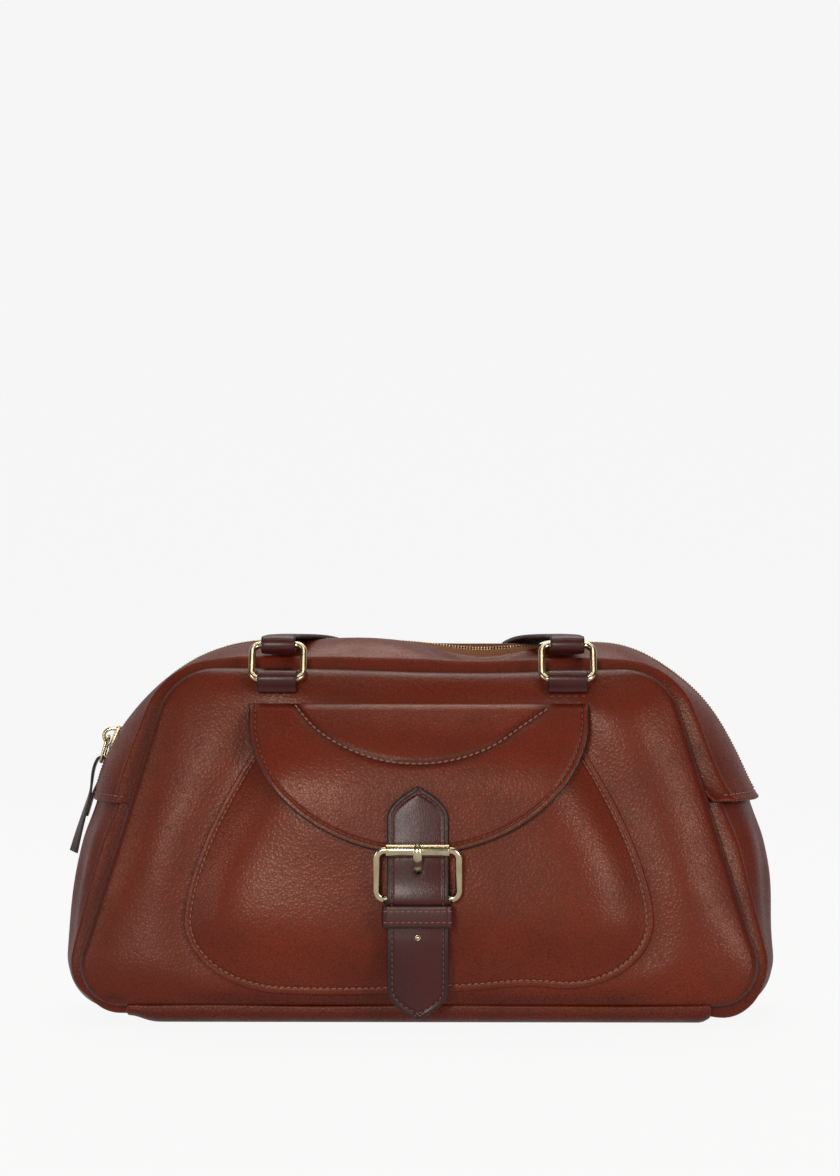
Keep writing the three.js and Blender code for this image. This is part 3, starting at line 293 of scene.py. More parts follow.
def front_skin(x, z):
    """The front panel's uneven face, drawn in along the pocket's seam; pocket and flap follow it."""
    x, z = np.broadcast_arrays(np.asarray(x, float), np.asarray(z, float))
    drawn = VALLEY.depth * bell(line_distance(x, z, POCKET_OUTLINE) / VALLEY.reach)
    crease = CREASE.depth * bell((x - CREASE.x) / CREASE.wide) * bell((z - CREASE.z) / CREASE.high)
    return panel_face(x, z) + (uneven(x, z, 11, 74, 1.0) - drawn) * panel_edge_fade(x, z) - crease


def bulge_fade(z):
    """How full the pocket is: upright low down, ever steeper towards the flap's fold."""
    return 1 - clamp01((z - POCKET.fade_from) / (FLAP.top_z - POCKET.fade_from)) ** 2


def pocket_face(x, z):
    bulge = POCKET.bulge * bulge_fade(z)
    for distance in (pocket_half(z) - np.abs(x), z - POCKET.bottom_z):
        inside = np.maximum(distance - POCKET.edge_width, 0) / POCKET.bulge_reach
        bulge = bulge * (1 - np.exp(-(inside**POCKET.bulge_power)))
    return front_skin(x, z) + POCKET.edge + bulge


def flap_low(x):
    """Height of the flap's lower edge."""
    reach = np.maximum(1 - (np.abs(x) / FLAP.half) ** 2, 0)
    return FLAP.side_z - FLAP.drop * reach ** (1 / FLAP.round)


def flap_face(x, z):
    bulge = POCKET.bulge * bulge_fade(z) * (1 - (np.abs(x) / FLAP.spread) ** FLAP.spread_power)
    fold = FLAP.fold * (1 - np.sqrt(np.maximum(1 - (1 - clamp01((FLAP.top_z - z) / FLAP.fold)) ** 2, 0)))
    return front_skin(x, z) + FLAP.lift + bulge - fold


# Gussets
SEAM_LINE = RoundedPath([(0, PANEL.bottom_z), (PANEL.bottom_half, PANEL.bottom_z, PANEL.low_radius),
                         (PANEL.top_half, PANEL.top_z, PANEL.top_radius), (0, PANEL.top_z)])
SPINE_LINE = RoundedPath([(0, SPINE.bottom_z), (SPINE.bottom_half, SPINE.bottom_z, SPINE.bottom_radius),
                          (SPINE.top_half, SPINE.top_z, SPINE.top_radius), (0, SPINE.top_z)])
HEM_SEAM = SEAM_LINE.fraction_at(HEM.z)
HEM_SPINE = SPINE_LINE.fraction_at(HEM.z)


def gusset_station(side, seam_fraction, spine_fraction):
    """Seam point, middle point, way out of the bag and depth at each place along the gusset."""
    seam = SEAM_LINE.at(seam_fraction)
    spine = SPINE_LINE.at(spine_fraction)
    ahead = unit(SEAM_LINE.tangent(seam_fraction) + SPINE_LINE.tangent(spine_fraction))
    depth = seam_depth(seam[..., 1]) - GUSSET.seam_inset
    flip = np.stack([side, np.ones_like(side)], -1)
    hang = np.stack([np.zeros_like(depth), top_sag(side * seam[..., 0], seam[..., 1])], -1)
    out = np.stack([side * ahead[..., 1], -ahead[..., 0]], -1)
    level = smooth(np.abs(seam[..., 1] - HEM.z) / GUSSET.level_reach)
    roll_way = np.stack([out[..., 0], out[..., 1] * level], -1)
    return Sizes(seam=seam * flip - hang, spine=spine * flip, out=out, roll_way=roll_way, depth=depth)


def gusset_face(station, across):
    """Points of the gusset: a row for each station, a column for each place across it."""
    arch = (1 - np.abs(across) ** GUSSET.arch_power)[..., None]
    from_seam = (1 - np.abs(across)) * station.depth
    roll = GUSSET.roll_height * bell((from_seam - GUSSET.roll_at) / GUSSET.roll_width)
    tuck = GUSSET.seam_tuck * bell(from_seam / GUSSET.roll_width)
    flat = lerp(station.seam, station.spine, arch) + station.roll_way * (roll - tuck)[..., None]
    return np.stack([flat[..., 0], across * station.depth, flat[..., 1]], -1)


def upper_station(along):
    rise = 1 - np.abs(along)
    side = np.where(along < 0, -1.0, 1.0)
    return gusset_station(side, lerp(HEM_SEAM, 1, rise), lerp(HEM_SPINE, 1, rise))


def hem_distance(along):
    return (1 - np.abs(along)) * SEAM_LINE.length * (1 - HEM_SEAM)


def push_out(points, out, distance):
    """Moves points of a gusset along the way out of the bag."""
    points[..., 0] += out[..., 0] * distance
    points[..., 2] += out[..., 1] * distance
    return points


def upper_face(along, y):
    station = upper_station(along)
    across = y / station.depth
    points = gusset_face(station, across)
    shift = np.where(along < 0, HEM.left_flare, HEM.right_flare) * np.exp(-hem_distance(along) / HEM.reach)
    loose = 1 - np.abs(across) ** 4
    for x, spread, middle, reach, lift in TOP_WAVES:
        shift = shift + lift * loose * bell((points[..., 0] - x) / spread) * bell((y - middle) / reach)
    shift = shift + uneven(along * 260, y, 23, 60, 0.5) * loose
    return push_out(points, station.out, shift)


def lower_face(side, rise, across):
    def place(line):
        return lerp(BASE.tucked_end / line.length, line.fraction_at(HEM.lower_top), rise)

    station = gusset_station(np.full_like(rise, side), place(SEAM_LINE), place(SPINE_LINE))
    points = gusset_face(station, across)
    z = points[..., 2]
    arch = 1 - np.abs(across) ** GUSSET.arch_power
    bulge, to_z, tuck = SIDE_SWELL.right, SIDE_SWELL.right_to, HEM.right_tuck
    if side < 0:
        bulge, to_z, tuck = SIDE_SWELL.left, SIDE_SWELL.left_to, HEM.left_tuck
    shift = bulge * arch * np.sin(np.pi * clamp01((z - SIDE_SWELL.from_z) / (to_z - SIDE_SWELL.from_z)))
    shift = shift - tuck * smooth((z - HEM.tuck_from) / (HEM.tuck_to - HEM.tuck_from))
    shift = shift - HEM.hidden_tuck * smooth((z - HEM.z) / (HEM.lower_top - HEM.z))
    height = z - FOLD_MIDDLE.z
    for middle, drift, width, sink in SIDE_FOLDS:
        fold = bell((across - middle - drift * height) / width) * bell(height / FOLD_MIDDLE.spread)
        shift = shift - sink * fold
    from_seam = (1 - np.abs(across)) * station.depth
    low_roll = smooth((SAG.from_z - z) / SAG.fade) * bell((from_seam - SAG.from_seam) / SAG.reach)
    for sag_side, x, spread, drop in ROLL_SAGS:
        if sag_side == side:
            shift = shift + drop * low_roll * bell((np.abs(points[..., 0]) - x) / spread)
    shift = shift + uneven(across * 60, z, 31 if side < 0 else 37, 55, 0.5) * arch
    return push_out(points, station.out, shift)


# The strap's depth over what is stacked under it
BAR_ROOM = 1.8
WIRE_STACK = GAP + THIN + GAP + BAR_ROOM
OVER_BAR = WIRE_STACK + BAR_ROOM + GAP + THIN + GAP + STRAP.leather / 2
KEEPER_BACK = GAP + THIN + GAP + THIN / 2
HOLDER_FRONT = KEEPER_BACK + THIN + GAP
OVER_HOLDER = HOLDER_FRONT + THIN / 2 + GAP + STRAP.leather / 2


def on_pocket(z):
    return pocket_face(np.zeros_like(z, float), np.asarray(z, float))


def on_flap(z):
    z = np.asarray(z, float)
    return flap_face(np.zeros_like(z), z) + STRAP.off_flap_gap + STRAP.leather / 2


STRAP_RUN = np.array([
    (STRAP.off_flap_z, on_flap(STRAP.off_flap_z)),
    (BUCKLE.low_z, on_pocket(BUCKLE.low_z) + OVER_BAR),
    (KEEPER.z, on_pocket(KEEPER.z) + OVER_HOLDER),
    (RIVET.z, on_pocket(KEEPER.z) + OVER_HOLDER),
    (STRAP.bottom_z, on_pocket(KEEPER.z) + OVER_HOLDER - STRAP.end_lean),
])


def strap_depth(z):
    z = np.asarray(z, float)
    depth = on_flap(np.maximum(z, STRAP.off_flap_z))
    for (high, above), (low, below) in zip(STRAP_RUN[:-1], STRAP_RUN[1:]):
        step = lerp(above, below, smooth((high - z) / (high - low)))
        depth = np.where((z < high) & (z >= low), step, depth)
    return np.where(z < STRAP.bottom_z, STRAP_RUN[-1, 1], depth)


def strap_half(z):
    top = (1 - clamp01((STRAP.top_z - z) / STRAP.top_point)) ** 2
    low = (1 - clamp01((z - STRAP.bottom_z) / STRAP.bottom_point)) ** 2.4
    return np.maximum(STRAP.half * (1 - np.maximum(top, low)), STRAP.tip_half)


def strap_face(x, z):
    reach = np.maximum(strap_half(z) - STRAP.dome_inset, 0.5)
    dome = STRAP.dome * (1 - clamp01(np.abs(x) / reach) ** 2)
    return strap_depth(z) + STRAP.leather / 2 + dome


# Meshes
def grid_faces(rows, columns, closed_rows=False, closed_columns=False):
    """Four-sided faces of a grid whose rows go up and whose columns go right, seen from outside."""
    i = np.arange(rows if closed_rows else rows - 1)[:, None]
    j = np.arange(columns if closed_columns else columns - 1)[None]
    up, right = (i + 1) % rows, (j + 1) % columns
    corners = [i * columns + j, i * columns + right, up * columns + right, up * columns + j]
    return np.stack([np.broadcast_to(c, (i.shape[0], j.shape[1])) for c in corners], -1).reshape(-1, 4)


def point_normals(points, faces):
    a, b, c, d = (points[faces[:, k]] for k in range(4))
    normal = np.cross(c - a, d - b)
    total = np.zeros_like(points)
    for k in range(4):
        np.add.at(total, faces[:, k], normal)
    return unit(total)


RIM = Sizes(steps=6, squareness=0.75)
CAP_RISE = 0.15


def shell(points, faces, thickness):
    """A leather wall behind an outer face, with rounded cut edges: points, faces, finish of each face."""
    normals = point_normals(points, faces)
    count = len(points)
    inside = points - normals * thickness
    edges = {}
    for k in range(4):
        for a, b in zip(faces[:, k].tolist(), faces[:, (k + 1) % 4].tolist()):
            edges[a, b] = True
    rim = {a: b for a, b in edges if (b, a) not in edges}
    before = {b: a for a, b in rim.items()}
    loop = np.array(list(rim))
    follow = np.array([rim[a] for a in loop])
    lead = np.array([before[a] for a in loop])
    ahead = unit(points[follow] - points[lead])
    outward = unit(np.cross(ahead, normals[loop]))
    turns = np.linspace(0, np.pi, RIM.steps + 1)[1:-1]
    place = {a: k for k, a in enumerate(loop.tolist())}
    layers = [points, inside]
    for turn in turns:
        along = math.copysign(abs(math.cos(turn)) ** RIM.squareness, math.cos(turn))
        bulge = math.sin(turn) ** RIM.squareness
        sunk = points[loop] - normals[loop] * thickness / 2 * (1 - along)
        layers.append(sunk + outward * thickness / 2 * bulge)
    start = np.array([place[b] for b in follow])
    here = np.arange(len(loop))
    rings = [(loop, follow)]
    for step in range(len(turns)):
        offset = 2 * count + step * len(loop)
        rings.append((offset + here, offset + start))
    rings.append((loop + count, follow + count))
    sides = [np.stack([b0, a0, a1, b1], -1) for (a0, b0), (a1, b1) in zip(rings[:-1], rings[1:])]
    every = np.vstack([faces, faces[:, ::-1] + count, *sides])
    finish = np.zeros(len(every), int)
    finish[len(faces):2 * len(faces)] = 2
    finish[2 * len(faces):] = 1
    return np.vstack(layers), every, finish


def strap_section(half, thickness, dome=0.0, columns=14, edge_steps=6):
    """Outline of a flat strap's section, anticlockwise, with the finish of each stretch of it."""
    flat = half - thickness / 2
    across = np.linspace(1, -1, columns + 1)
    top = np.stack([across * flat, thickness / 2 + dome * (1 - across**2)], -1)
    turn = np.linspace(np.pi / 2, 3 * np.pi / 2, edge_steps + 1)[1:-1]
    left = np.stack([-flat + thickness / 2 * np.cos(turn), thickness / 2 * np.sin(turn)], -1)
    low = np.stack([-across * flat, np.full(columns + 1, -thickness / 2)], -1)
    right = np.stack([flat - thickness / 2 * np.cos(turn), -thickness / 2 * np.sin(turn)], -1)
    finish = [0] * columns + [1] * edge_steps + [2] * columns + [1] * edge_steps
    return np.vstack([top, left, low, right]), np.array(finish)


def round_section(radius, sides=20, flatten=1.0, power=1.0):
    """Outline of a wire's section, anticlockwise; a power under 1 squares it a little."""
    turn = 2 * np.pi * np.arange(sides) / sides
    c, s = np.cos(turn), np.sin(turn)
    outline = np.stack([np.sign(c) * np.abs(c) ** power, np.sign(s) * np.abs(s) ** power * flatten], -1)
    return radius * outline, np.zeros(sides, int)


def sweep(path, facing, section, closed=False, narrow=None):
    """A section carried along a path; facing is the way its outer side looks at each point."""
    outline, finish = section
    if closed:
        ahead = unit(np.roll(path, -1, 0) - np.roll(path, 1, 0))
    else:
        ahead = unit(np.gradient(path, axis=0))
    side = unit(np.cross(facing, ahead))
    out = np.cross(ahead, side)
    scale = np.ones((len(path), 1, 1)) if narrow is None else np.asarray(narrow, float)[:, None, None]
    rings = path[:, None] + side[:, None] * outline[None, :, :1] * scale + out[:, None] * outline[None, :, 1:]
    sides = len(outline)
    faces = grid_faces(len(path), sides, closed, True)
    finishes = np.tile(finish, len(path) if closed else len(path) - 1)
    points = rings.reshape(-1, 3)
    if closed:
        return points, [faces.tolist()], finishes
    middle = [path[0] - ahead[0] * CAP_RISE, path[-1] + ahead[-1] * CAP_RISE]
    points = np.vstack([points, middle])
    first, last = len(points) - 2, len(points) - 1
    end = (len(path) - 1) * sides
    caps = [[first, (k + 1) % sides, k] for k in range(sides)]
    caps += [[last, end + k, end + (k + 1) % sides] for k in range(sides)]
    return points, [faces.tolist(), caps], np.concatenate([finishes, np.ones(2 * sides, int)])


def rounded_bar_loop(width, height, radius, steps=9):
    """Points of a rectangle with round corners in the XZ plane, standing on its lower bar."""
    points = []
    for x, z, first in ((width / 2 - radius, radius, -90), (width / 2 - radius, height - radius, 0),
                        (radius - width / 2, height - radius, 90), (radius - width / 2, radius, 180)):
        for turn in np.radians(first + 90 * np.arange(steps + 1) / steps):
            points.append((x + radius * math.cos(turn), 0, z + radius * math.sin(turn)))
    return np.array(points)


def lathe(profile, sides=32):
    """A profile of radius and height turned about Z; it runs up its outer side and ends on the axis."""
    profile = np.asarray(profile, float)
    turn = 2 * np.pi * np.arange(sides) / sides
    rings = [np.stack([r * np.cos(turn), r * np.sin(turn), np.full(sides, h)], -1) for r, h in profile]
    return np.vstack(rings), [grid_faces(len(profile), sides, False, True).tolist()]


def turned(points, angle):
    """Points turned about the X axis."""
    c, s = math.cos(angle), math.sin(angle)
    return np.stack([points[..., 0], c * points[..., 1] - s * points[..., 2],
                     s * points[..., 1] + c * points[..., 2]], -1)


def joined(*parts):
    """Several lists of points, faces and finishes as one."""
    points, faces, finishes, count = [], [], [], 0
    for part_points, part_faces, part_finish in parts:
        points.append(part_points)
        faces.extend([[v + count for v in face] for group in part_faces for face in group])
        finishes.append(part_finish)
        count += len(part_points)
    return np.vstack(points), [faces], np.concatenate(finishes)


def add_piece(name, points, faces, finishes, materials, nodes=(), slot=None, press=None):
    """Makes an object of a mesh given in millimetres, riding on the bag's one body."""
    if isinstance(faces, np.ndarray):
        faces = [faces.tolist()]
    mesh = bpy.data.meshes.new(name)
    mesh.from_pydata((np.asarray(points) * MM).tolist(), [], [face for group in faces for face in group])
    for material in materials:
        mesh.materials.append(material)
    mesh.polygons.foreach_set("material_index", np.minimum(finishes, len(materials) - 1).astype(np.int32))
    mesh.polygons.foreach_set("use_smooth", np.ones(len(mesh.polygons), bool))
    # The value stored here per point darkens the leather's colour as painted shade in stitch grooves, seams,
    # creases and under overhangs.
    shade_layer = mesh.attributes.new("press", "FLOAT", "POINT")
    values = np.zeros(len(mesh.vertices), np.float32)
    if press is not None:
        values[:len(press)] = press
    shade_layer.data.foreach_set("value", values)
    mesh.update()
    return add_object(name, mesh, nodes)


def add_object(name, mesh, nodes=()):
    piece = bpy.data.objects.new(name, mesh)
    bpy.context.scene.collection.objects.link(piece)
    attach(piece, "root")
    if nodes:
        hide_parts(*nodes)
    return piece


def add_leather(node, points, thickness, press, flipped=False):
    """A wall of the bag's leather behind a grid of points; its mask darkens the outer side with painted
    shade.
    """
    faces = grid_faces(*points.shape[:2])
    body = shell(points.reshape(-1, 3), faces[:, ::-1] if flipped else faces, thickness)
    add_piece(f"{node}_leather", *body, LEATHER_FINISH, [node], "body_leather", press=press.ravel())


def round_bar(bar, grip, degrees, towards, up):
    """Stations of a strip that turns round a bar: at 0 it lies towards one way, at 90 up the other."""
    stations = []
    for turn in map(math.radians, degrees):
        face = np.array(towards) * math.cos(turn) + np.array(up) * math.sin(turn)
        stations.append((*(bar + face * grip), *face))
    return stations


def add_strip(name, node, stations, spacing, section, finish=None):
    """A dark leather strip swept along stations of a place and the way its outer side looks."""
    line = eased(stations, spacing)
    body = sweep(line[:, :3], unit(line[:, 3:]), section)
    add_piece(name, *body, finish or DARK_FINISH, [node], "dark_leather")


# Shader groups
def socket(group, name, kind, way, value=None):
    made = group.interface.new_socket(name, in_out=way, socket_type=kind)
    if value is not None:
        made.default_value = value


def add_node(tree, kind, inputs=None, **settings):
    node = tree.nodes.new(kind)
    for key, value in settings.items():
        setattr(node, key, value)
    for key, value in (inputs or {}).items():
        target = node.inputs[key]
        if isinstance(value, bpy.types.NodeSocket):
            tree.links.new(value, target)
        else:
            target.default_value = value
    return node


def read_node(tree, output, kind, inputs=None, **settings):
    """Adds a node and gives back one of its outputs."""
    return add_node(tree, kind, inputs, **settings).outputs[output]


def math_node(tree, operation, a, b=0.0, clamp=False):
    return read_node(tree, 0, "ShaderNodeMath", {0: a, 1: b}, operation=operation, use_clamp=clamp)


def ramp_node(tree, value, low, high, to_low=0.0, to_high=1.0):
    ends = {"From Min": low, "From Max": high, "To Min": to_low, "To Max": to_high}
    return read_node(tree, "Result", "ShaderNodeMapRange", {"Value": value, **ends},
                     interpolation_type="SMOOTHSTEP")


def make_grain_group():
    """Pebbled leather: plump cells between fine creases, pores, and slow patches of tone."""
    group = bpy.data.node_groups.new("leather_grain", "ShaderNodeTree")
    socket(group, "Cells per metre", "NodeSocketFloat", "INPUT", 800.0)
    socket(group, "Stretch", "NodeSocketVector", "INPUT", (1.0, 1.0, 1.0))
    for name in ("Height", "Crease", "Mottle"):
        socket(group, name, "NodeSocketFloat", "OUTPUT")
    inlet = group.nodes.new("NodeGroupInput").outputs

    def vector(operation, a, key, b):
        return read_node(group, 0, "ShaderNodeVectorMath", {0: a, key: b}, operation=operation)

    def noise(output, **inputs):
        return read_node(group, output, "ShaderNodeTexNoise", {"Vector": stretched, **inputs})

    def cell_distance(feature, scale):
        inputs = {"Vector": bent, "Scale": scale}
        return read_node(group, "Distance", "ShaderNodeTexVoronoi", inputs, feature=feature)

    place = read_node(group, "Object", "ShaderNodeTexCoord")
    stretched = vector("MULTIPLY", place, 1, inlet["Stretch"])
    wander = noise("Color", Scale=260.0, Detail=2.0)
    shift = vector("SUBTRACT", wander, 1, (0.5, 0.5, 0.5))
    bent = vector("ADD", stretched, 1, vector("SCALE", shift, "Scale", 0.0016))
    cells = cell_distance("DISTANCE_TO_EDGE", inlet["Cells per metre"])
    finer = math_node(group, "MULTIPLY", inlet["Cells per metre"], 2.3)
    pebbles = cell_distance("DISTANCE_TO_EDGE", finer)
    pores = noise("Fac", Scale=3200.0, Detail=2.0)
    patches = noise("Fac", Scale=22.0, Detail=5.0, Roughness=0.6)
    domes = cell_distance("F1", inlet["Cells per metre"])
    plump = ramp_node(group, domes, 0.0, 0.62, 1.0, 0.0)
    small = ramp_node(group, pebbles, 0.0, 0.35)
    both = math_node(group, "ADD", math_node(group, "MULTIPLY", plump, 0.76),
                     math_node(group, "MULTIPLY", small, 0.16))
    both = math_node(group, "ADD", both, math_node(group, "MULTIPLY", pores, 0.08))
    crease = math_node(group, "SUBTRACT", 1.0, ramp_node(group, cells, 0.0, 0.14))
    mottle = ramp_node(group, patches, 0.34, 0.66)
    outlet = group.nodes.new("NodeGroupOutput")
    for name, value in (("Height", both), ("Crease", crease), ("Mottle", mottle)):
        group.links.new(value, outlet.inputs[name])
    return group


def make_tarnish_group():
    """Handled metal: slow patches of tarnish and fine rubbing marks."""
    group = bpy.data.node_groups.new("metal_tarnish", "ShaderNodeTree")
    socket(group, "Marks per metre", "NodeSocketFloat", "INPUT", 900.0)
    for name in ("Tarnish", "Marks"):
        socket(group, name, "NodeSocketFloat", "OUTPUT")
    marks = group.nodes.new("NodeGroupInput").outputs["Marks per metre"]
    place = read_node(group, "Object", "ShaderNodeTexCoord")
    slow = read_node(group, "Fac", "ShaderNodeTexNoise", {"Vector": place, "Scale": 150.0, "Detail": 1.0})
    fine = read_node(group, "Fac", "ShaderNodeTexNoise", {"Vector": place, "Scale": marks, "Detail": 3.0})
    outlet = group.nodes.new("NodeGroupOutput")
    group.links.new(ramp_node(group, slow, 0.42, 0.7), outlet.inputs["Tarnish"])
    group.links.new(ramp_node(group, fine, 0.35, 0.75), outlet.inputs["Marks"])
    return group


GRAIN = make_grain_group()
TARNISH = make_tarnish_group()


def start_material(name, **constants):
    material = bpy.data.materials.new(name)
    material.use_nodes = True
    tree = material.node_tree
    surface = tree.nodes["Principled BSDF"]
    for key, value in constants.items():
        surface.inputs[key.replace("_", " ")].default_value = value
    return material, tree, surface


def mix_colour(tree, factor, a, b):
    node = tree.nodes.new("ShaderNodeMix")
    node.data_type = "RGBA"
    for key, value in ((0, factor), (6, a), (7, b)):
        target = node.inputs[key]
        if isinstance(value, bpy.types.NodeSocket):
            tree.links.new(value, target)
        else:
            target.default_value = (*value, 1.0) if isinstance(value, tuple) and len(value) == 3 else value
    return node.outputs[2]


def add_bump(tree, surface, height, strength, distance):
    bump = add_node(tree, "ShaderNodeBump", {"Height": height, "Strength": strength, "Distance": distance})
    tree.links.new(bump.outputs["Normal"], surface.inputs["Normal"])


def make_leather(name, light, dark, crease, cells, bump, rough_low, rough_high, stretch=(1, 1, 1),
                 **constants):
    material, tree, surface = start_material(name, **constants)
    grain = tree.nodes.new("ShaderNodeGroup")
    grain.node_tree = GRAIN
    grain.inputs["Cells per metre"].default_value = cells
    grain.inputs["Stretch"].default_value = stretch
    # The per-point mask darkens the colour towards the crease colour as painted shade; the grain's own
    # creases use the same colour.
    press = read_node(tree, "Fac", "ShaderNodeAttribute", attribute_name="press")
    colour = mix_colour(tree, grain.outputs["Mottle"], dark, light)
    crease_and_painted_shade = math_node(tree, "MULTIPLY", grain.outputs["Crease"], 0.55)
    crease_and_painted_shade = math_node(tree, "ADD", crease_and_painted_shade, math_node(tree, "MULTIPLY", press, 0.6), clamp=True)
    colour = mix_colour(tree, crease_and_painted_shade, colour, crease)
    tree.links.new(colour, surface.inputs["Base Color"])
    rough = ramp_node(tree, grain.outputs["Mottle"], 0.0, 1.0, rough_high, rough_low)
    dull = math_node(tree, "MULTIPLY", grain.outputs["Crease"], 0.12)
    rough = math_node(tree, "ADD", rough, dull, clamp=True)
    tree.links.new(rough, surface.inputs["Roughness"])
    add_bump(tree, surface, grain.outputs["Height"], 1.0, bump * MM)
    return material


def make_plain(name, light, dark, scale, bump, rough_low, rough_high):
    """A finish with fine noise in its colour, roughness and height."""
    material, tree, surface = start_material(name)
    place = read_node(tree, "Object", "ShaderNodeTexCoord")
    noise = read_node(tree, "Fac", "ShaderNodeTexNoise", {"Vector": place, "Scale": scale, "Detail": 4.0})
    tone = ramp_node(tree, noise, 0.3, 0.7)
    tree.links.new(mix_colour(tree, tone, dark, light), surface.inputs["Base Color"])
    tree.links.new(ramp_node(tree, noise, 0.3, 0.7, rough_high, rough_low), surface.inputs["Roughness"])
    add_bump(tree, surface, noise, bump, 0.0003)
    return material


def make_metal(name, bright, tarnished, rough_low, rough_high):
    material, tree, surface = start_material(name, Metallic=1.0)
    wear = tree.nodes.new("ShaderNodeGroup")
    wear.node_tree = TARNISH
    tree.links.new(mix_colour(tree, wear.outputs["Tarnish"], bright, tarnished), surface.inputs["Base Color"])
    rough = ramp_node(tree, wear.outputs["Marks"], 0.0, 1.0, rough_low, rough_high)
    tree.links.new(rough, surface.inputs["Roughness"])
    return material


def make_tape():
    material, tree, surface = start_material("zip_tape_weave")
    place = read_node(tree, "Object", "ShaderNodeTexCoord")
    ribs = read_node(tree, "Fac", "ShaderNodeTexWave",
                     {"Vector": place, "Scale": 260.0, "Distortion": 0.6}, bands_direction="Y")
    threads = read_node(tree, "Fac", "ShaderNodeTexWave",
                        {"Vector": place, "Scale": 300.0, "Distortion": 0.8}, bands_direction="X")
    weave = math_node(tree, "MULTIPLY", ribs, threads)
    colour = mix_colour(tree, weave, (0.16, 0.055, 0.022), (0.36, 0.135, 0.052))
    tree.links.new(colour, surface.inputs["Base Color"])
    tree.links.new(ramp_node(tree, weave, 0.0, 1.0, 0.95, 0.75), surface.inputs["Roughness"])
    add_bump(tree, surface, weave, 0.5, 0.0003)
    return material


# Each leather's third colour fills its grain creases and is also the colour of the painted shade.
BODY = make_leather("chestnut_leather", (0.185, 0.0245, 0.0102), (0.14, 0.0178, 0.0076),
                    (0.06, 0.0078, 0.004), 580.0, 0.075, 0.3, 0.38, Specular_IOR_Level=0.32,
                    Specular_Tint=(1.0, 0.84, 0.7, 1.0))
DARK = make_leather("oxblood_leather", (0.08, 0.0098, 0.0086), (0.053, 0.0068, 0.006),
                    (0.014, 0.003, 0.003), 1100.0, 0.03, 0.26, 0.36, stretch=(1.6, 1, 0.35),
                    Specular_IOR_Level=0.42, Coat_Weight=0.1, Coat_Roughness=0.2)
EDGE = make_plain("painted_edge", (0.03, 0.011, 0.009), (0.016, 0.006, 0.005), 900.0, 0.2, 0.35, 0.5)
FLESH = make_plain("suede_inside", (0.12, 0.045, 0.026), (0.07, 0.024, 0.014), 1500.0, 0.6, 0.85, 0.95)
DARK_FLESH = make_plain("dark_suede_inside", (0.05, 0.032, 0.022), (0.026, 0.015, 0.011), 1500.0, 0.5,
                        0.7, 0.85)
THREAD = make_plain("rust_thread", (0.36, 0.125, 0.075), (0.25, 0.08, 0.048), 2600.0, 0.5, 0.5, 0.65)
TONE_THREAD = make_plain("tone_thread", (0.23, 0.05, 0.024), (0.15, 0.03, 0.015), 2600.0, 0.5, 0.5, 0.65)
DARK_THREAD = make_plain("dark_thread", (0.2, 0.052, 0.044), (0.13, 0.032, 0.027), 2600.0, 0.5, 0.5, 0.65)
BRASS = make_metal("pale_brass", (0.8, 0.67, 0.44), (0.66, 0.53, 0.33), 0.2, 0.26)
TEETH = make_metal("antique_brass", (0.78, 0.62, 0.36), (0.4, 0.29, 0.15), 0.28, 0.42)
TAPE = make_tape()
LEATHER_FINISH = [BODY, BODY, FLESH]
CUT_FINISH = [BODY, EDGE, FLESH]
DARK_FINISH = [DARK, EDGE, DARK_FLESH]


# Geometry nodes
def tree_inputs(tree, sizes):
    tree.interface.new_socket("Geometry", in_out="INPUT", socket_type="NodeSocketGeometry")
    kinds = {float: "NodeSocketFloat", int: "NodeSocketInt", tuple: "NodeSocketVector"}
    for name, value in sizes.items():
        if isinstance(value, bpy.types.Material):
            tree.interface.new_socket(name, in_out="INPUT", socket_type="NodeSocketMaterial")
        else:
            made = tree.interface.new_socket(name, in_out="INPUT", socket_type=kinds[type(value)])
            made.default_value = value
    tree.interface.new_socket("Geometry", in_out="OUTPUT", socket_type="NodeSocketGeometry")
    return tree.nodes.new("NodeGroupInput").outputs


def along_line(tree, inlet):
    """Points at an even pitch along a line, turned so that X runs along it and Z stands out of it."""
    curve = read_node(tree, "Curve", "GeometryNodeMeshToCurve", {"Mesh": inlet["Geometry"]})
    spread = {"Curve": curve, "Length": inlet["Pitch"]}
    points = add_node(tree, "GeometryNodeCurveToPoints", spread, mode="LENGTH").outputs
    outward = read_node(tree, "Attribute", "GeometryNodeInputNamedAttribute", {"Name": "outward"},
                        data_type="FLOAT_VECTOR")
    ahead = read_node(tree, "Rotation", "FunctionNodeAlignRotationToVector",
                      {"Vector": points["Tangent"]}, axis="X")
    upright = read_node(tree, "Rotation", "FunctionNodeAlignRotationToVector",
                        {"Rotation": ahead, "Vector": outward}, axis="Z", pivot_axis="X")
    return points["Points"], upright


def finish_tree(tree, instances, material):
    real = read_node(tree, "Geometry", "GeometryNodeRealizeInstances", {"Geometry": instances})
    even = read_node(tree, "Geometry", "GeometryNodeSetShadeSmooth", {"Geometry": real})
    paint = {"Geometry": even, "Material": material}
    painted = read_node(tree, "Geometry", "GeometryNodeSetMaterial", paint)
    outlet = tree.nodes.new("NodeGroupOutput")
    tree.links.new(painted, outlet.inputs["Geometry"])
    return tree


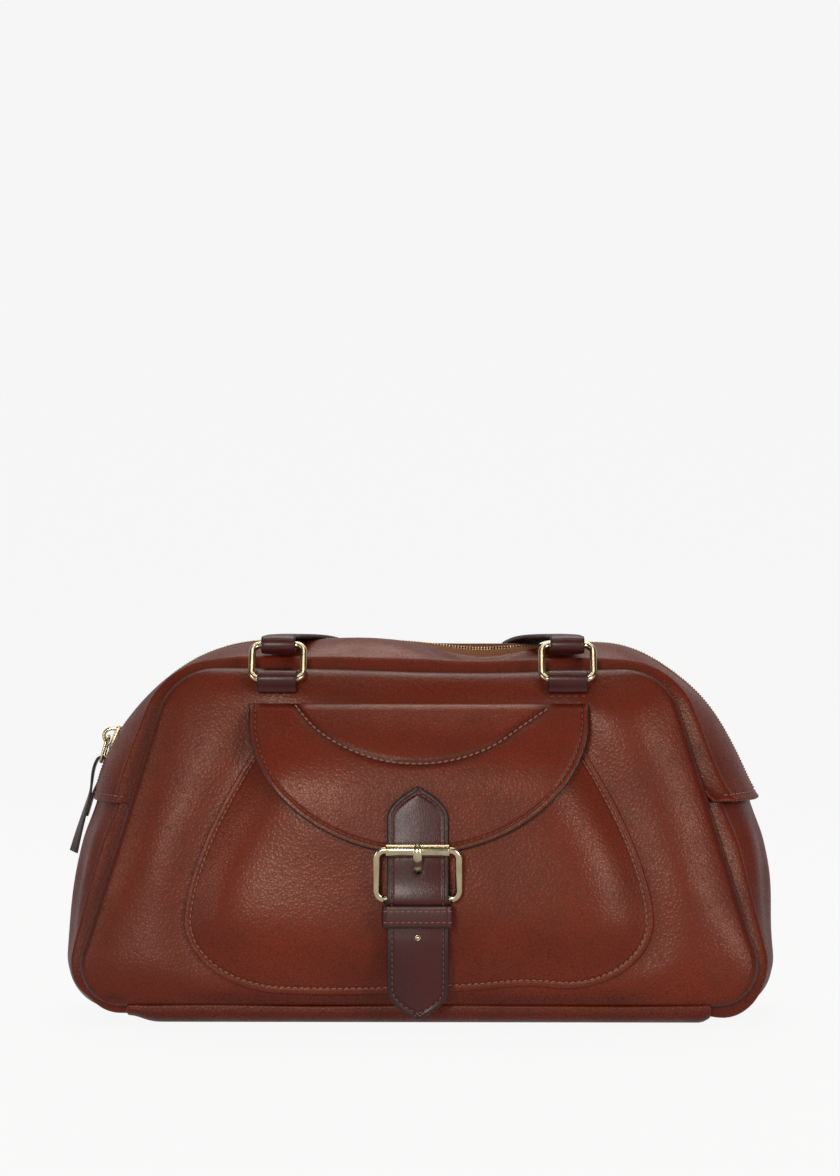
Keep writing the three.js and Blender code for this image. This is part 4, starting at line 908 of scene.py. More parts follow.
def make_stitch_tree():
    """Short threads along a line, each a little turned, sunk at both ends."""
    tree = bpy.data.node_groups.new("stitch_row", "GeometryNodeTree")
    inlet = tree_inputs(tree, {"Pitch": 0.0031, "Size": (0.0026, 0.0006, 0.0006), "Slant": 0.1, "Seed": 3,
                               "Thread": THREAD})
    points, turn = along_line(tree, inlet)
    ball = read_node(tree, "Mesh", "GeometryNodeMeshUVSphere", {"Segments": 8, "Rings": 5, "Radius": 0.5})
    low = math_node(tree, "MULTIPLY", inlet["Slant"], 0.4)
    slant = add_node(tree, "FunctionNodeRandomValue",
                     {"Min": low, "Max": inlet["Slant"], "Seed": inlet["Seed"]}, data_type="FLOAT")
    angle = read_node(tree, 0, "ShaderNodeCombineXYZ", {"Z": find_output(slant)})
    own = read_node(tree, 0, "FunctionNodeEulerToRotation", {0: angle})
    both = read_node(tree, 0, "FunctionNodeRotateRotation", {"Rotation": turn, "Rotate By": own},
                     rotation_space="LOCAL")
    placed = read_node(tree, 0, "GeometryNodeInstanceOnPoints",
                       {"Points": points, "Instance": ball, "Rotation": both, "Scale": inlet["Size"]})
    return finish_tree(tree, placed, inlet["Thread"])


def find_output(node):
    return next(output for output in node.outputs if output.enabled)


def make_teeth_tree():
    """Rounded zip teeth along a line, every other one set to the other side."""
    tree = bpy.data.node_groups.new("zip_teeth_row", "GeometryNodeTree")
    inlet = tree_inputs(tree, {"Pitch": 0.00145, "Size": (0.001, 0.0034, 0.002), "Offset": 0.00095,
                               "Metal": TEETH})
    points, turn = along_line(tree, inlet)
    block = read_node(tree, "Mesh", "GeometryNodeMeshCube", {"Size": (1.0, 1.0, 1.0)})
    tooth = read_node(tree, 0, "GeometryNodeSubdivisionSurface",
                      {"Mesh": block, "Level": 1, "Edge Crease": 0.55})
    index = read_node(tree, 0, "GeometryNodeInputIndex")
    odd = math_node(tree, "MODULO", index, 2.0)
    sign = math_node(tree, "SUBTRACT", math_node(tree, "MULTIPLY", odd, 2.0), 1.0)
    aside = math_node(tree, "MULTIPLY", sign, inlet["Offset"])
    away = read_node(tree, 0, "ShaderNodeCombineXYZ", {"Y": aside})
    placed = read_node(tree, 0, "GeometryNodeInstanceOnPoints",
                       {"Points": points, "Instance": tooth, "Rotation": turn, "Scale": inlet["Size"]})
    moved = read_node(tree, 0, "GeometryNodeTranslateInstances", {"Instances": placed, "Translation": away})
    return finish_tree(tree, moved, inlet["Metal"])


STITCH_TREE = make_stitch_tree()
TEETH_TREE = make_teeth_tree()


def add_along(name, lines, tree, values, nodes=()):
    """Runs a geometry tree over lines of (points, outward) and keeps the result as a plain mesh."""
    points, outward, edges = [], [], []
    for line, normal in lines:
        edges += [(len(points) + k, len(points) + k + 1) for k in range(len(line) - 1)]
        points += (np.asarray(line) * MM).tolist()
        outward += np.broadcast_to(normal, np.shape(line)).tolist()
    mesh = bpy.data.meshes.new(name + "_line")
    mesh.from_pydata(points, edges, [])
    attribute = mesh.attributes.new("outward", "FLOAT_VECTOR", "POINT")
    attribute.data.foreach_set("vector", np.asarray(outward, np.float32).ravel())
    holder = bpy.data.objects.new(name + "_line", mesh)
    bpy.context.scene.collection.objects.link(holder)
    modifier = holder.modifiers.new("row", "NODES")
    modifier.node_group = tree
    identifiers = {item.name: item.identifier for item in tree.interface.items_tree if item.in_out == "INPUT"}
    for key, value in values.items():
        modifier[identifiers[key]] = value
    depsgraph = bpy.context.evaluated_depsgraph_get()
    made = bpy.data.meshes.new_from_object(holder.evaluated_get(depsgraph), depsgraph=depsgraph)
    made.name = name
    bpy.data.objects.remove(holder)
    bpy.data.meshes.remove(mesh)
    return add_object(name, made, nodes)


def add_stitches(name, lines, thread=None, pitch=STITCH.pitch, length=STITCH.length, width=STITCH.width,
                 seed=3):
    size = (length * MM, width * MM, width * MM)
    values = {"Pitch": pitch * MM, "Size": size, "Slant": 0.12, "Seed": seed, "Thread": thread or THREAD}
    return add_along(name, lines, STITCH_TREE, values)


def on_front(face, line, lift=0.05):
    """A flat line laid on a front face, with the way out of the leather at each point."""
    x, z = line[:, 0], line[:, 1]
    step = 0.2
    across = (face(x + step, z) - face(x - step, z)) / (2 * step)
    up = (face(x, z + step) - face(x, z - step)) / (2 * step)
    outward = unit(np.stack([-across, -np.ones_like(x), -up], -1))
    return np.stack([x, -face(x, z), z], -1) + outward * lift, outward


def groove(distance):
    return STITCH.groove * bell(distance / STITCH.groove_width)


# Panels
def add_panel(name, facing):
    z = lerp(PANEL.bottom_z, PANEL.top_z, (crowded(110) + 1) / 2)[:, None]
    x = -facing * crowded(190)[None] * panel_half(z)
    z = np.broadcast_to(z, x.shape)
    if facing < 0:
        depth = front_skin(x, z)
    else:
        depth = panel_face(x, z) + uneven(x, z, 17, 74, 1.0) * panel_edge_fade(x, z)
    points = np.stack([x, facing * depth, z - top_sag(x, z)], -1)
    # Painted shade along the seams and the bottom edge, and painted shadow low on the panel below the pocket.
    shade_sizes = PANEL_PAINTED_SHADE
    edge = np.minimum(panel_half(z) - np.abs(x), z - PANEL.bottom_z + shade_sizes.below)
    edge = np.minimum(edge, PANEL.top_z - z)
    low = shade_sizes.low * smooth((shade_sizes.low_z - z) / shade_sizes.low_fade)
    press = np.maximum(bell(edge / shade_sizes.seam), low * smooth((shade_sizes.low_half - np.abs(x)) / shade_sizes.side_fade))
    if facing < 0:
        # On the front, painted shade in the lower-left crease and along the top band.
        crease = bell((x - CREASE.x) / CREASE.wide) * bell((z - CREASE.z) / CREASE.high)
        top = shade_sizes.top * smooth((z - shade_sizes.top_z) / shade_sizes.top_fade)
        press = np.maximum(press, crease)
        press = np.maximum(press, top * smooth((shade_sizes.top_half - np.abs(x)) / shade_sizes.side_fade))
    add_leather(name, points, PANEL.leather, press)


add_panel("front_panel", -1)
add_panel("back_panel", 1)


# Upper gusset strips, from hem to hem on each side of the zip
def add_upper_strip(name, side):
    along = np.linspace(-1, 1, 261)[:, None]
    depth = upper_station(along).depth
    step = np.concatenate([np.linspace(0, 0.26, 22), np.linspace(0.3, 1, 22)])[None]
    y = side * lerp(depth, ZIP.half_opening, step)
    along = np.broadcast_to(along, y.shape)
    from_edge = np.abs(y) - ZIP.half_opening
    dip = np.maximum(groove(from_edge - ZIP.stitch_inset), groove(hem_distance(along) - STITCH.inset))
    points = push_out(upper_face(along, y), upper_station(along).out, -dip)
    # Painted shade in the stitch grooves and beside the panel seam.
    press = np.maximum(dip / STITCH.groove, bell((depth - np.abs(y)) / GUSSET.press))
    add_leather(name, points, GUSSET.leather, press, flipped=side < 0)


add_upper_strip("top_gusset_front", -1)
add_upper_strip("top_gusset_rear", 1)


def outward_at(along):
    out = upper_station(along).out
    return np.stack([out[..., 0], np.zeros_like(along), out[..., 1]], -1)


zip_rows = []
for side in (-1, 1):
    along = np.linspace(-0.99, 0.99, 400)
    out = outward_at(along)
    row = upper_face(along, np.full_like(along, side * (ZIP.half_opening + ZIP.stitch_inset)))
    zip_rows.append((row - ZIP.stitch_sink * out, out))
add_stitches("stitches_zip", zip_rows, width=0.6, seed=5)

hem_rows = []
for end in (-1, 1):
    for side in (-1, 1):
        fraction = 1 - STITCH.inset / (SEAM_LINE.length * (1 - HEM_SEAM))
        depth = float(upper_station(np.array([end * fraction])).depth[0])
        y = side * np.linspace(ZIP.half_opening + ZIP.stitch_inset, depth - ZIP.stitch_inset, 60)
        along = np.full_like(y, end * fraction)
        hem_rows.append((upper_face(along, y), outward_at(along)))
add_stitches("stitches_hem", hem_rows, seed=6)


# Lower gussets
def add_side_gusset(name, side):
    rise = np.linspace(0, 1, 100)[:, None]
    edge = 1 - np.concatenate([np.linspace(0, 0.2, 18), np.linspace(0.24, 1, 28)])
    across = np.concatenate([-edge, edge[::-1][1:]])[None]
    across = across if side > 0 else -across
    points = lower_face(side, *np.broadcast_arrays(rise, across))
    # Painted shade where the gusset runs in under the hem and beside the panel seam.
    shade_under_hem = smooth((points[..., 2] - HEM.z + HEM.shade) / HEM.shade)
    press = np.maximum(bell((1 - np.abs(across)) * PANEL.seam_bottom / GUSSET.press), shade_under_hem)
    add_leather(name, points, GUSSET.leather, press)


add_side_gusset("side_gusset_left", -1)
add_side_gusset("side_gusset_right", 1)


# Base: a boot with a low rim at front and back
def add_base():
    turn = np.linspace(np.pi, 1.5 * np.pi, 13)
    flat = BASE.outside - BASE.bend_in
    near = np.stack([-flat + BASE.bend_in * np.cos(turn), BASE.bend_up * (1 + np.sin(turn))], -1)
    rim = np.linspace(BASE.rim_top - BASE.leather / 2, BASE.bend_up, 5)[:-1]
    near = np.vstack([np.stack([np.full(4, -BASE.outside), rim], -1), near])
    under = np.stack([np.linspace(-flat, flat, 14)[1:-1], np.zeros(12)], -1)
    section = np.vstack([near, under, (near * (-1, 1))[::-1]])
    half = BASE.half_length - BASE.leather / 2
    x = np.linspace(-half, half, BASE.steps)[:, None]
    y, z = (np.broadcast_to(section[:, k], (BASE.steps, len(section))) for k in (0, 1))
    for side, reach, lift in BASE_ENDS:
        ending = smooth((side * x - half + reach) / reach)
        z = z + lift * (BASE.rim_top - z) * ending**2
    z = z + uneven(x, 0 * x, 17, 70, BASE.rim_wave) * smooth(z / BASE.rim_top)
    points = np.stack([np.broadcast_to(x, y.shape), y, z], -1)
    # Darkened all over with painted shade.
    add_leather("base", points, BASE.leather, np.full(y.shape, BASE.press))


add_base()


# Pocket
POCKET_STITCH = inset_line(POCKET_OUTLINE, STITCH.inset)


def sewn_pocket_face(x, z):
    return pocket_face(x, z) - groove(line_distance(x, z, POCKET_STITCH))


def pocket_sag(x, z):
    """How the sewn lower edge wanders up and down."""
    wander = sum(lift * bell((x - middle) / spread) for middle, spread, lift in POCKET_SAGS)
    return wander * smooth((POCKET.wide_z - z) / (POCKET.wide_z - POCKET.bottom_z))


def add_pocket():
    z = pocket_rows()[:, None]
    x = crowded(200)[None] * pocket_half(z)
    z = np.broadcast_to(z, x.shape)
    dip = groove(line_distance(x, z, POCKET_STITCH))
    points = np.stack([x, -(pocket_face(x, z) - dip), z + pocket_sag(x, z)], -1)
    # Painted shade in the stitch groove.
    add_leather("pocket", points, POCKET.leather, dip / STITCH.groove)
    row = POCKET_STITCH[POCKET_STITCH[:, 1] < 140]
    points, outward = on_front(sewn_pocket_face, row)
    points[:, 2] += pocket_sag(*row.T)
    add_stitches("stitches_pocket", [(points, outward)], seed=7)


add_pocket()


# Flap, with a sewn edge and a curved row of stitches across it
def flap_edge():
    x = FLAP.half * np.sin(np.linspace(-np.pi / 2, np.pi / 2, 400))
    low = np.stack([x, flap_low(x)], -1)
    return resampled(np.vstack([[(-FLAP.half, FLAP.top_z)], low, [(FLAP.half, FLAP.top_z)]]), 1.0)


FLAP_STITCH = inset_line(flap_edge(), STITCH.inset)
ARC = Sizes(groove=0.7, groove_width=1.5)
ARC_PLACES = [(-60.4, 154.8), (-49.4, 143.0), (-35.0, 134.1), (-18.3, 128.3), (-0.3, 126.4), (17.3, 128.3),
              (36.3, 135.1), (50.4, 144.5), (61.2, 151.6)]


def flap_arc():
    line = eased([(x, 0, z) for x, z in ARC_PLACES], 1.0)
    return line[:, [0, 2]]


FLAP_ARC = flap_arc()


def flap_dip(x, z):
    drawn = ARC.groove * bell(line_distance(x, z, FLAP_ARC) / ARC.groove_width)
    return np.maximum(groove(line_distance(x, z, FLAP_STITCH)), drawn)


def sewn_flap_face(x, z):
    return flap_face(x, z) - flap_dip(x, z)


def add_flap():
    x = (FLAP.half * np.sin(np.linspace(-np.pi / 2, np.pi / 2, 211)))[None]
    low = flap_low(x)
    step = ((crowded(120) + 1) / 2)[:, None]
    z = lerp(low, FLAP.top_z, step)
    x = np.broadcast_to(x, z.shape)
    dip = flap_dip(x, z)
    points = np.stack([x, -(flap_face(x, z) - dip), z], -1)
    body = shell(points.reshape(-1, 3), grid_faces(*x.shape), FLAP.leather)
    folded = body[0][body[1]].mean(1)[:, 2] > FLAP.top_z - 0.6
    body[2][(body[2] == 1) & folded] = 0
    # Painted shade in the edge and arc stitch grooves.
    press = dip.ravel() / STITCH.groove
    add_piece("flap_leather", *body, CUT_FINISH, ["pocket_flap"], "body_leather", press=press)
    edge = on_front(sewn_flap_face, FLAP_STITCH[FLAP_STITCH[:, 1] < FLAP.top_z - 2])
    add_stitches("stitches_flap", [edge], TONE_THREAD, seed=8)
    arc = on_front(sewn_flap_face, FLAP_ARC[FLAP_ARC[:, 1] < FLAP.top_z - 1])
    add_stitches("stitches_arc", [arc], length=2.7, width=1.0, seed=13)


add_flap()


# Closure strap, with a hole where the prong comes through
def strap_outline(inset):
    z = np.concatenate([STRAP.bottom_z + STRAP.bottom_point * np.linspace(0, 1, 60) ** 2,
                        np.linspace(STRAP.bottom_z + STRAP.bottom_point, STRAP.top_z - STRAP.top_point, 60),
                        STRAP.top_z - STRAP.top_point * np.linspace(1, 0, 60) ** 2])
    half = strap_half(z)
    line = np.vstack([np.stack([half, z], -1), np.stack([-half, z], -1)[::-1]])
    return inset_line(resampled(line, 0.6, True), inset)


STRAP_STITCH = strap_outline(STITCH.inset)


def sewn_strap_face(x, z):
    return strap_face(x, z) - groove(line_distance(x, z, STRAP_STITCH))


def add_strap():
    margin = STRAP.leather / 2
    point = np.linspace(0, 1, 34) ** 2
    low = STRAP.bottom_z + margin + (STRAP.bottom_point - margin) * point
    top = STRAP.top_z - margin - (STRAP.top_point - margin) * point[::-1]
    z = np.concatenate([low, np.linspace(low[-1], top[0], 150)[1:-1], top])[:, None]
    x = crowded(44)[None] * np.maximum(strap_half(z) - margin, 0.3)
    z = np.broadcast_to(z, x.shape)
    dip = groove(line_distance(x, z, STRAP_STITCH))
    points = np.stack([x, -(strap_face(x, z) - dip), z], -1)
    faces = grid_faces(*x.shape)
    middle = points.reshape(-1, 3)[faces].mean(1)
    hole = (middle[:, 0] / PRONG.hole_half) ** 2 + ((middle[:, 2] - PRONG.hole_z) / PRONG.hole_high) ** 2 < 1
    body = shell(points.reshape(-1, 3), faces[~hole], STRAP.leather)
    # Painted shade in the stitch groove.
    press = dip.ravel() / STITCH.groove
    add_piece("strap_leather", *body, DARK_FINISH, ["pocket_strap"], "dark_leather", press=press)
    row = on_front(sewn_strap_face, np.vstack([STRAP_STITCH, STRAP_STITCH[:1]]))
    add_stitches("stitches_strap", [row], DARK_THREAD, pitch=2.9, length=2.4, seed=9)


add_strap()

# Buckle: wire frame, roller, prong, leather holder, keeper and rivet
LOW_BAR = np.array([0, -(float(on_pocket(BUCKLE.low_z)) + WIRE_STACK), BUCKLE.low_z])
OVER_STRAP = float(strap_depth(BUCKLE.top_z)) + STRAP.leather / 2 + GAP + ROLLER.outer
TOP_BAR = np.array([0, -OVER_STRAP, BUCKLE.top_z])
BUCKLE_LEAN = math.atan2(LOW_BAR[1] - TOP_BAR[1], TOP_BAR[2] - LOW_BAR[2])
BUCKLE_HEIGHT = float(np.linalg.norm(TOP_BAR - LOW_BAR))


def add_wire(name, node, loop, facing, section, put):
    """A closed loop of brass wire, swept flat and then put in its place."""
    points, faces, finish = sweep(loop, np.broadcast_to(facing, loop.shape), section, closed=True)
    add_piece(name, put(points), faces, finish, [BRASS], [node], "hardware")


def add_turned(name, node, profile, sides, put):
    """A brass piece turned on a lathe and then put in its place."""
    points, faces = lathe(profile, sides)
    add_piece(name, put(points), faces, np.zeros(len(faces[0]), int), [BRASS], [node], "hardware")


def add_buckle():
    loop = rounded_bar_loop(2 * BUCKLE.half - 0.2, BUCKLE_HEIGHT, BUCKLE.corner)
    add_wire("buckle_frame_metal", "buckle_frame", loop, (0.0, -1.0, 0.0),
             round_section(BUCKLE.wire, 24, 1.0, 0.85), lambda points: turned(points, BUCKLE_LEAN) + LOW_BAR)
    half, outer, inner = ROLLER.half, ROLLER.outer, ROLLER.inner
    end = [(outer, half - 0.4), (outer - 0.1, half - 0.12), (outer - 0.35, half), (inner, half)]
    profile = [(radius, -along) for radius, along in end[::-1]] + end + [(inner, -half)]
    add_turned("buckle_roller_metal", "buckle_roller", profile, 36,
               lambda points: points[:, [2, 1, 0]] * (1, 1, -1) + TOP_BAR)


add_buckle()


def add_prong():
    grip = BAR_ROOM + GAP + PRONG.thick / 2
    stations = round_bar(LOW_BAR, grip, range(-150, 91, 20), (0, 0, -1), (0, -1, 0))
    through = -float(strap_depth(PRONG.hole_z))
    on_roller = TOP_BAR[1] - ROLLER.outer - PRONG.thick / 2 - 0.15
    front = (0, -0.94, 0.34)
    # Place and facing: off the bar, into the hole, out of it, and over the roller
    stations += [(0, LOW_BAR[1] - grip - 0.2, PRONG.rise_z, 0, -1, 0),
                 (0, through + 0.9, PRONG.hole_z - 2.6, *front),
                 (0, through - 1.8, PRONG.hole_z + 1.6, *front),
                 (0, on_roller - 0.1, TOP_BAR[2] - 2, 0, -1, 0),
                 (0, on_roller + 0.25, TOP_BAR[2] + 1.4, 0, -0.97, 0.25),
                 (0, on_roller + 1.3, PRONG.tip_z, 0, -0.8, 0.6)]
    line = eased(stations, 0.5)
    section = strap_section(PRONG.half, PRONG.thick, 0.25, 10, 6)
    narrow = np.ones(len(line))
    narrow[-PRONG.tip_steps:] = np.sqrt(np.linspace(1, 0.25, PRONG.tip_steps))
    points, faces, finish = sweep(line[:, :3], unit(line[:, 3:]), section, narrow=narrow)
    add_piece("buckle_prong_metal", points, faces, finish * 0, [BRASS], ["buckle_prong"], "hardware")


add_prong()


def add_holder():
    grip = BAR_ROOM + GAP + THIN / 2
    stations = [(0, -(float(on_pocket(z)) + GAP + THIN / 2), z, 0, 1, 0)
                for z in lerp(HOLDER.low_z, BUCKLE.low_z, np.linspace(0, 0.95, 7))]
    stations += round_bar(LOW_BAR, grip, range(0, 181, 20), (0, 1, 0), (0, 0, 1))
    for z in (KEEPER.z + 5, KEEPER.z - 5, HOLDER.front_low_z):
        stations.append((0, -(float(on_pocket(z)) + HOLDER_FRONT), z, 0, -1, 0))
    add_strip("buckle_holder_leather", "buckle_holder", stations, 0.8, strap_section(HOLDER.half, THIN))


add_holder()


def add_keeper():
    back = float(on_pocket(KEEPER.z)) + KEEPER_BACK
    front = float(strap_depth(KEEPER.z + 5)) + STRAP.leather / 2 + STRAP.dome + GAP + THIN / 2
    loop = rounded_bar_loop(2 * KEEPER.half - THIN, front - back, KEEPER.corner)
    path = np.stack([loop[:, 0], -(back + loop[:, 2]), np.full(len(loop), KEEPER.z)], -1)
    path = resampled(path, 0.9, True)
    ahead = unit(np.roll(path, -1, 0) - np.roll(path, 1, 0))
    facing = unit(np.cross(ahead, (0.0, 0.0, -1.0)))
    middle = path.mean(0)
    if ((path - middle) * facing).sum(-1).mean() < 0:
        facing = -facing
    body = sweep(path, facing, strap_section(KEEPER.height / 2, THIN + 0.2, 0.15), closed=True)
    add_piece("keeper_leather", *body, DARK_FINISH, ["strap_keeper"], "dark_leather")
    x = np.linspace(-KEEPER.half + 1.6, KEEPER.half - 1.6, 50)
    y = np.full_like(x, -front - THIN / 2 - 0.3)
    rows = [(np.stack([x, y, np.full_like(x, KEEPER.z + side * (KEEPER.height / 2 - 2.6))], -1), (0, -1, 0))
            for side in (-1, 1)]
    add_stitches("stitches_keeper", rows, THREAD, pitch=2.7, length=2.1, width=0.6, seed=10)


add_keeper()


def add_rivet():
    radius, height = RIVET.radius, RIVET.height
    turn = np.linspace(0, np.pi / 2, 9)
    dome = [(max(radius * math.cos(t), 1e-4), height * math.sin(t)) for t in turn]
    collar = [(1e-4, -0.6), (radius + 0.2, -0.6), (radius + 0.2, 0.05), (radius + 0.08, 0.08)]
    place = (0, -float(strap_face(np.zeros(1), np.array([RIVET.z]))[0]), RIVET.z)
    add_turned("rivet_metal", "strap_rivet", collar + dome, 28,
               lambda points: points[:, [0, 2, 1]] * (1, -1, 1) + place)


add_rivet()


# Rings, tabs and handles
def add_tab(name, x, facing):
    grip = RING.wire + TAB.fold_gap + TAB.leather / 2
    on_panel = float(panel_face(np.array([RING.x]), np.array([TAB.low_z]))[0])
    inner = on_panel + GAP + TAB.leather / 2
    outer = inner + TAB.leather + GAP
    bar = np.array([x, facing * RING.bar_y, RING.bar_z])
    stations = [(x, facing * inner, TAB.low_z, 0, -facing, 0)]
    stations += round_bar(bar, grip, np.linspace(0, 180, 10), (0, -facing, 0), (0, 0, 1))
    stations += [(x, facing * (outer + 0.5), TAB.low_z + 1.6, 0, facing, 0.1),
                 (x, facing * outer, TAB.low_z, 0, facing, 0.2)]
    add_strip(f"{name}_leather", name, stations, 0.6, strap_section(TAB.half, TAB.leather, 0.25))


def add_ring(name, x, facing, lean):
    loop = rounded_bar_loop(RING.width, RING.height, RING.corner)
    place = (x, facing * RING.bar_y, RING.bar_z)
    add_wire(f"{name}_metal", name, loop, (0.0, -1.0, 0.0), round_section(RING.wire, 24, 1.0, 0.92),
             lambda points: turned(points, lean) + place)


REAR_LEAN = math.pi + math.atan2(RING.rear_y - RING.bar_y, RING.bar_z - RING.rear_z)
for end, facing, lean in (("front", -1, RING.front_lean), ("rear", 1, REAR_LEAN)):
    for label, x in (("left", -RING.x), ("right", RING.x)):
        add_tab(f"{end}_tab_{label}", x + RING.offset, facing)
        add_ring(f"{end}_ring_{label}", x + RING.offset, facing, lean)


def tack_row(x, z, facing, half=7.6):
    line = np.stack([np.linspace(x - half, x + half, 30), np.full(30, z)], -1)
    if facing < 0:
        return on_front(front_skin, line, 0.1)
    points, outward = on_front(panel_face, line, 0.1)
    return points * (1, -1, 1), outward * (1, -1, 1)


add_stitches("stitches_tabs", [tack_row(side * RING.x + RING.offset, TAB.low_z - 2.2, facing)
                               for side in (-1, 1) for facing in (-1, 1)],
             TONE_THREAD, pitch=3.4, length=2.7, width=0.9, seed=12)


def face_at(degrees):
    turn = np.radians(degrees)
    return np.stack([np.zeros_like(turn), np.sin(turn), np.cos(turn)], -1)


def add_handle(name, bar, first_face, fall):
    grip = RING.wire + GAP + HANDLE.leather / 2
    turn = first_face + np.linspace(0, 180, 10)
    loop = [(*(bar + face_at(np.array(t)) * grip), t) for t in turn]
    back = -HANDLE.short_end * face_at(np.array(first_face + 90.0))
    rest = -HANDLE.pinch * face_at(np.array(float(first_face)))
    start = [(*(np.array(loop[0][:3]) + back + rest), first_face)]
    half = start + loop + [tuple(row) for row in fall]
    mirrored = [(-x, y, z, t) for x, y, z, t in half[:-1][::-1]]
    line = eased(half + mirrored, 1.0)
    section = strap_section(HANDLE.half, HANDLE.leather, 0.35)
    points, faces, finish = sweep(line[:, :3], face_at(line[:, 3]), section)
    points = points + (RING.offset, 0, 0)
    add_piece(f"{name}_leather", points, faces, finish, DARK_FINISH, [name], "dark_leather")


FRONT_TOP = np.array([RING.x, -RING.bar_y - RING.height * math.sin(RING.front_lean),
                      RING.bar_z + RING.height * math.cos(RING.front_lean)])
REAR_LOW = np.array([RING.x, RING.bar_y - RING.height * math.sin(REAR_LEAN),
                     RING.bar_z + RING.height * math.cos(REAR_LEAN)])
add_handle("front_handle", FRONT_TOP, -180, FRONT_FALL)
add_handle("rear_handle", REAR_LOW, -90, REAR_FALL)


# Zip: tapes, teeth, slider, pull ring and leather puller
TEETH_SINK = ZIP.chain_sink + ZIP.line_below


def zip_line(y, sink):
    along = np.linspace(-(1 - ZIP.end_inset), 1 - ZIP.end_inset, ZIP.points)
    out = outward_at(along)
    return upper_face(along, np.full_like(along, y)) - out * sink, out


for name, side in (("zip_tape_front", -1), ("zip_tape_rear", 1)):
    lines = []
    for y in np.linspace(ZIP.tape_inner, ZIP.tape_outer, ZIP.rows):
        sink = lerp(TEETH_SINK, ZIP.tape_sink, smooth((y - 1.5) / 6))
        lines.append(zip_line(side * y, sink)[0])
    faces = grid_faces(ZIP.points, ZIP.rows)
    body = shell(np.stack(lines, 1).reshape(-1, 3), faces if side > 0 else faces[:, ::-1], ZIP.tape)
    add_piece(f"{name}_cloth", body[0], body[1], body[2] * 0, [TAPE], [name], "zip_tape")

add_along("zip_teeth_metal", [zip_line(0, TEETH_SINK)], TEETH_TREE,
          {"Pitch": ZIP.pitch * MM, "Size": (ZIP.tooth_long * MM, ZIP.tooth_wide * MM, ZIP.tooth_high * MM),
           "Offset": ZIP.offset * MM, "Metal": TEETH}, ["zip_teeth"])

SLIDER_ALONG = np.array([-(1 - (SPINE_LINE.fraction_at(SLIDER.z) - HEM_SPINE) / (1 - HEM_SPINE))])
SLIDER_OUT = outward_at(SLIDER_ALONG)[0]
SLIDER_DOWN = np.array([-SLIDER_OUT[2], 0, SLIDER_OUT[0]])
SLIDER_SIDE = np.cross(SLIDER_OUT, SLIDER_DOWN)
SLIDER_PLACE = upper_face(SLIDER_ALONG, np.zeros(1))[0]


def on_slider(points):
    """Points given down the zip, across it and out of it."""
    points = np.asarray(points, float)
    flat = SLIDER_PLACE + points[..., :1] * SLIDER_DOWN + points[..., 1:2] * SLIDER_SIDE
    return flat + points[..., 2:] * SLIDER_OUT


def add_slider():
    half, nose, length = SLIDER.half_width, SLIDER.nose_half, SLIDER.length
    curve = [(length / 6, -half), (length / 2, -half), (length / 2, -nose)]
    t = np.linspace(0, 1, 9)[:, None]
    low = (1 - t) ** 2 * np.array(curve[0]) + 2 * t * (1 - t) * np.array(curve[1]) + t**2 * np.array(curve[2])
    outline = np.vstack([[(-length / 2, -half)], low, (low * (1, -1))[::-1], [(-length / 2, half)]])
    outline = resampled(outline, 0.7, True)
    centre = np.array([SLIDER.centre, 0])
    layers = []
    # How far each layer is drawn in, and its height
    for inset, z in ((0.5, -SLIDER.below), (0.12, -SLIDER.below + 0.12), (0, -SLIDER.below + 0.45),
                     (0, SLIDER.above - 0.6), (0.2, SLIDER.above - 0.2), (0.7, SLIDER.above)):
        flat = centre + (outline - centre) * (1 - inset / SLIDER.taper_reach)
        layers.append(np.column_stack([flat, np.full(len(flat), z)]))
    count = len(outline)
    caps = [(*centre, -SLIDER.below), (*centre, SLIDER.above + SLIDER.crown)]
    points = np.vstack(layers + [caps])
    faces = grid_faces(len(layers), count, False, True).tolist()
    top = (len(layers) - 1) * count
    faces += [[len(points) - 2, (k + 1) % count, k] for k in range(count)]
    faces += [[len(points) - 1, top + k, top + (k + 1) % count] for k in range(count)]
    turn = np.linspace(0, np.pi, 24)
    arch = np.stack([-SLIDER.bail_half * np.cos(turn), np.zeros(24),
                     SLIDER.above / 2 + SLIDER.bail_rise * np.sin(turn)], -1)
    bail = sweep(arch, np.broadcast_to((0.0, 1.0, 0.0), arch.shape), round_section(SLIDER.bail_wire, 14, 1.6))
    body = joined((points, [faces], np.zeros(len(faces), int)), bail)
    points, faces, finish = body
    add_piece("zip_slider_metal", on_slider(points), faces, finish * 0, [BRASS], ["zip_slider"], "hardware")


add_slider()


def pull_ring_place(points):
    c, s = math.cos(PULL_RING.lean), math.sin(PULL_RING.lean)
    x, y, z = points[..., 0], points[..., 1], points[..., 2]
    leaned = np.stack([c * x + s * z + PULL_RING.ahead, y, -s * x + c * z + PULL_RING.stand_off], -1)
    return on_slider(leaned)


def add_pull_ring():
    loop = rounded_bar_loop(PULL_RING.width, PULL_RING.length, PULL_RING.corner, 7)[:, [2, 0, 1]]
    section = round_section(PULL_RING.wire, 16)
    add_wire("pull_ring_metal", "zip_pull_ring", loop, (0.0, 0.0, -1.0), section, pull_ring_place)


add_pull_ring()


